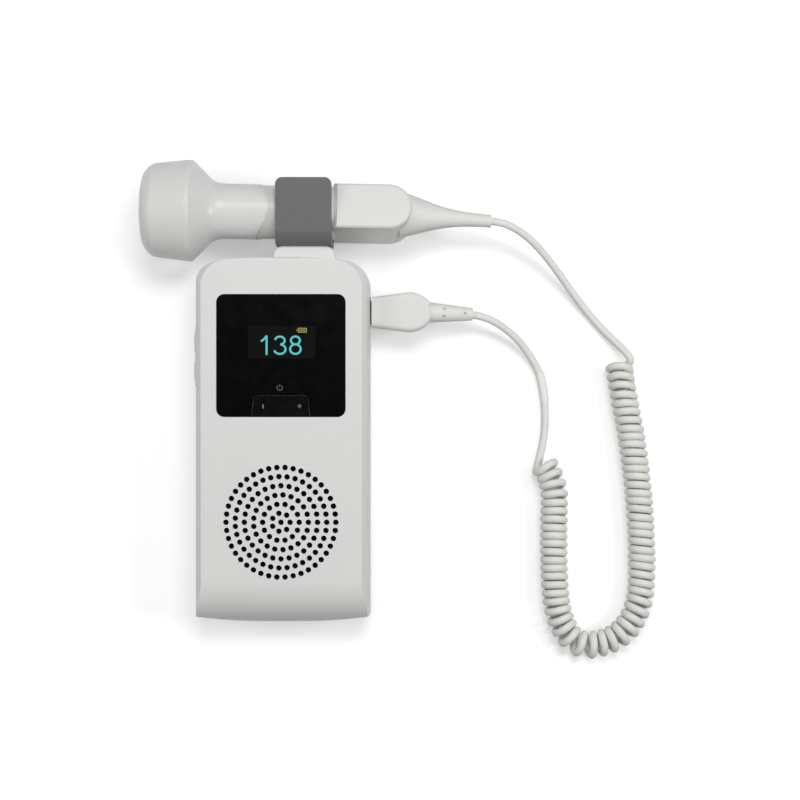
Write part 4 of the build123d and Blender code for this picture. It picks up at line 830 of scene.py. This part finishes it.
def figure_strokes():
    """The lit number: a one, a three and an eight, each of arcs and bars."""
    def ring(cx, cy, rx, ry, start=0, end=360, count=28):
        x, y = on_window(cx, cy)
        return arc(x, y, rx * PIXEL, ry * PIXEL, start, end, count)

    flag = ((260.9, 341.4), (263.3, 339.7), (265.1, 337.9), (266.4, 335.9))
    one_flag = [on_window(*p) for p in flag]
    one_stem = [on_window(266.6, 335.5), on_window(266.6, 355.0)]
    three_top = ring(279.9, 340.5, 4.8, 3.95, 172, -80, 24)
    three_low = ring(279.9, 349.2, 5.7, 4.75, 86, -166, 28)
    eight_top = ring(295.4, 340.4, 4.5, 3.95)[:-1]
    eight_low = ring(295.4, 349.1, 5.3, 4.8)[:-1]
    return [(one_flag, False), (one_stem, False), (three_top, False), (three_low, False),
            (eight_top, True), (eight_low, True)]


def make_display():
    """The lit number and battery sign, and the slightly lighter area that they stand on."""
    cyan = lit("display_cyan", (0.105, 0.57, 0.57))
    yellow = lit("display_yellow", (0.46, 0.38, 0.09))
    figure_mesh("display_figures", figure_strokes(), FIGURE_STROKE * PIXEL, FIGURE_TOP,
                cyan)

    corners = (*on_window(*BATTERY[:2]), *on_window(*BATTERY[2:]))
    outline = [(rounded_outline(*corners, 0.3 * PIXEL, 3), True)]
    figure_mesh("display_battery_outline", outline, ICON_STROKE * PIXEL, FIGURE_TOP,
                yellow)
    bars = [([on_window(x, 331.4), on_window(x, 329.0)], False) for x in BATTERY_BARS]
    bars.append(([on_window(BATTERY_NUB, 331.1), on_window(BATTERY_NUB, 329.3)], False))
    figure_mesh("display_battery_bars", bars, ICON_STROKE * PIXEL, FIGURE_TOP,
                yellow)

    corners = (*on_window(*LIT_AREA[:2]), *on_window(*LIT_AREA[2:]))
    outline = rounded_outline(*corners, 0.3 * MM)
    bm = bmesh.new()
    skin(bm, [[bm.verts.new((x, y, z * MM)) for x, y in outline]
              for z in (WINDOW_TOP, LIT_AREA_TOP)])
    bmesh.ops.recalc_face_normals(bm, faces=bm.faces)
    glass = moulded("display_glass", (0.0072, 0.0070, 0.0071), 0.14, tone=0.25, tone_scale=900,
                    grain=0.02, grain_scale=1500, spread=0.03)
    link_mesh("display_area", bm, "main_unit", glass)


def make_key_marks():
    """A power symbol printed above the key, and a minus and a plus on the key's two halves."""
    def bar(x, y, reach_x, reach_y):
        return ([(x - reach_x * MM, y - reach_y * MM), (x + reach_x * MM, y + reach_y * MM)], False)

    window_print = moulded("print_grey", grey(0.13), 0.5, tone=0.1, tone_scale=500)
    x, y = on_window(*POWER_MARK)
    ring = (arc(x, y, 1.0 * MM, 1.0 * MM, 130, 410, 24), False)
    stem = ([(x, y + 0.15 * MM), (x, y + 1.25 * MM)], False)
    figure_mesh("power_symbol", [ring, stem], 0.26 * MM, WINDOW_TOP, window_print)

    key_print = moulded("key_print", grey(0.20), 0.5, tone=0.1, tone_scale=500)
    minus, plus = on_window(*MINUS_MARK), on_window(*PLUS_MARK)
    marks = [bar(*minus, 0, 0.75), bar(*plus, 0.7, 0), bar(*plus, 0, 0.7)]
    figure_mesh("key_marks", marks, 0.5 * MM, KEY_TOP, key_print, "power_key")


make_camera()
make_floor()
make_world()
make_lights()
scene.view_settings.view_transform = "Standard"
dress_cad()
make_cords()
make_display()
make_key_marks()
make_case_screws()
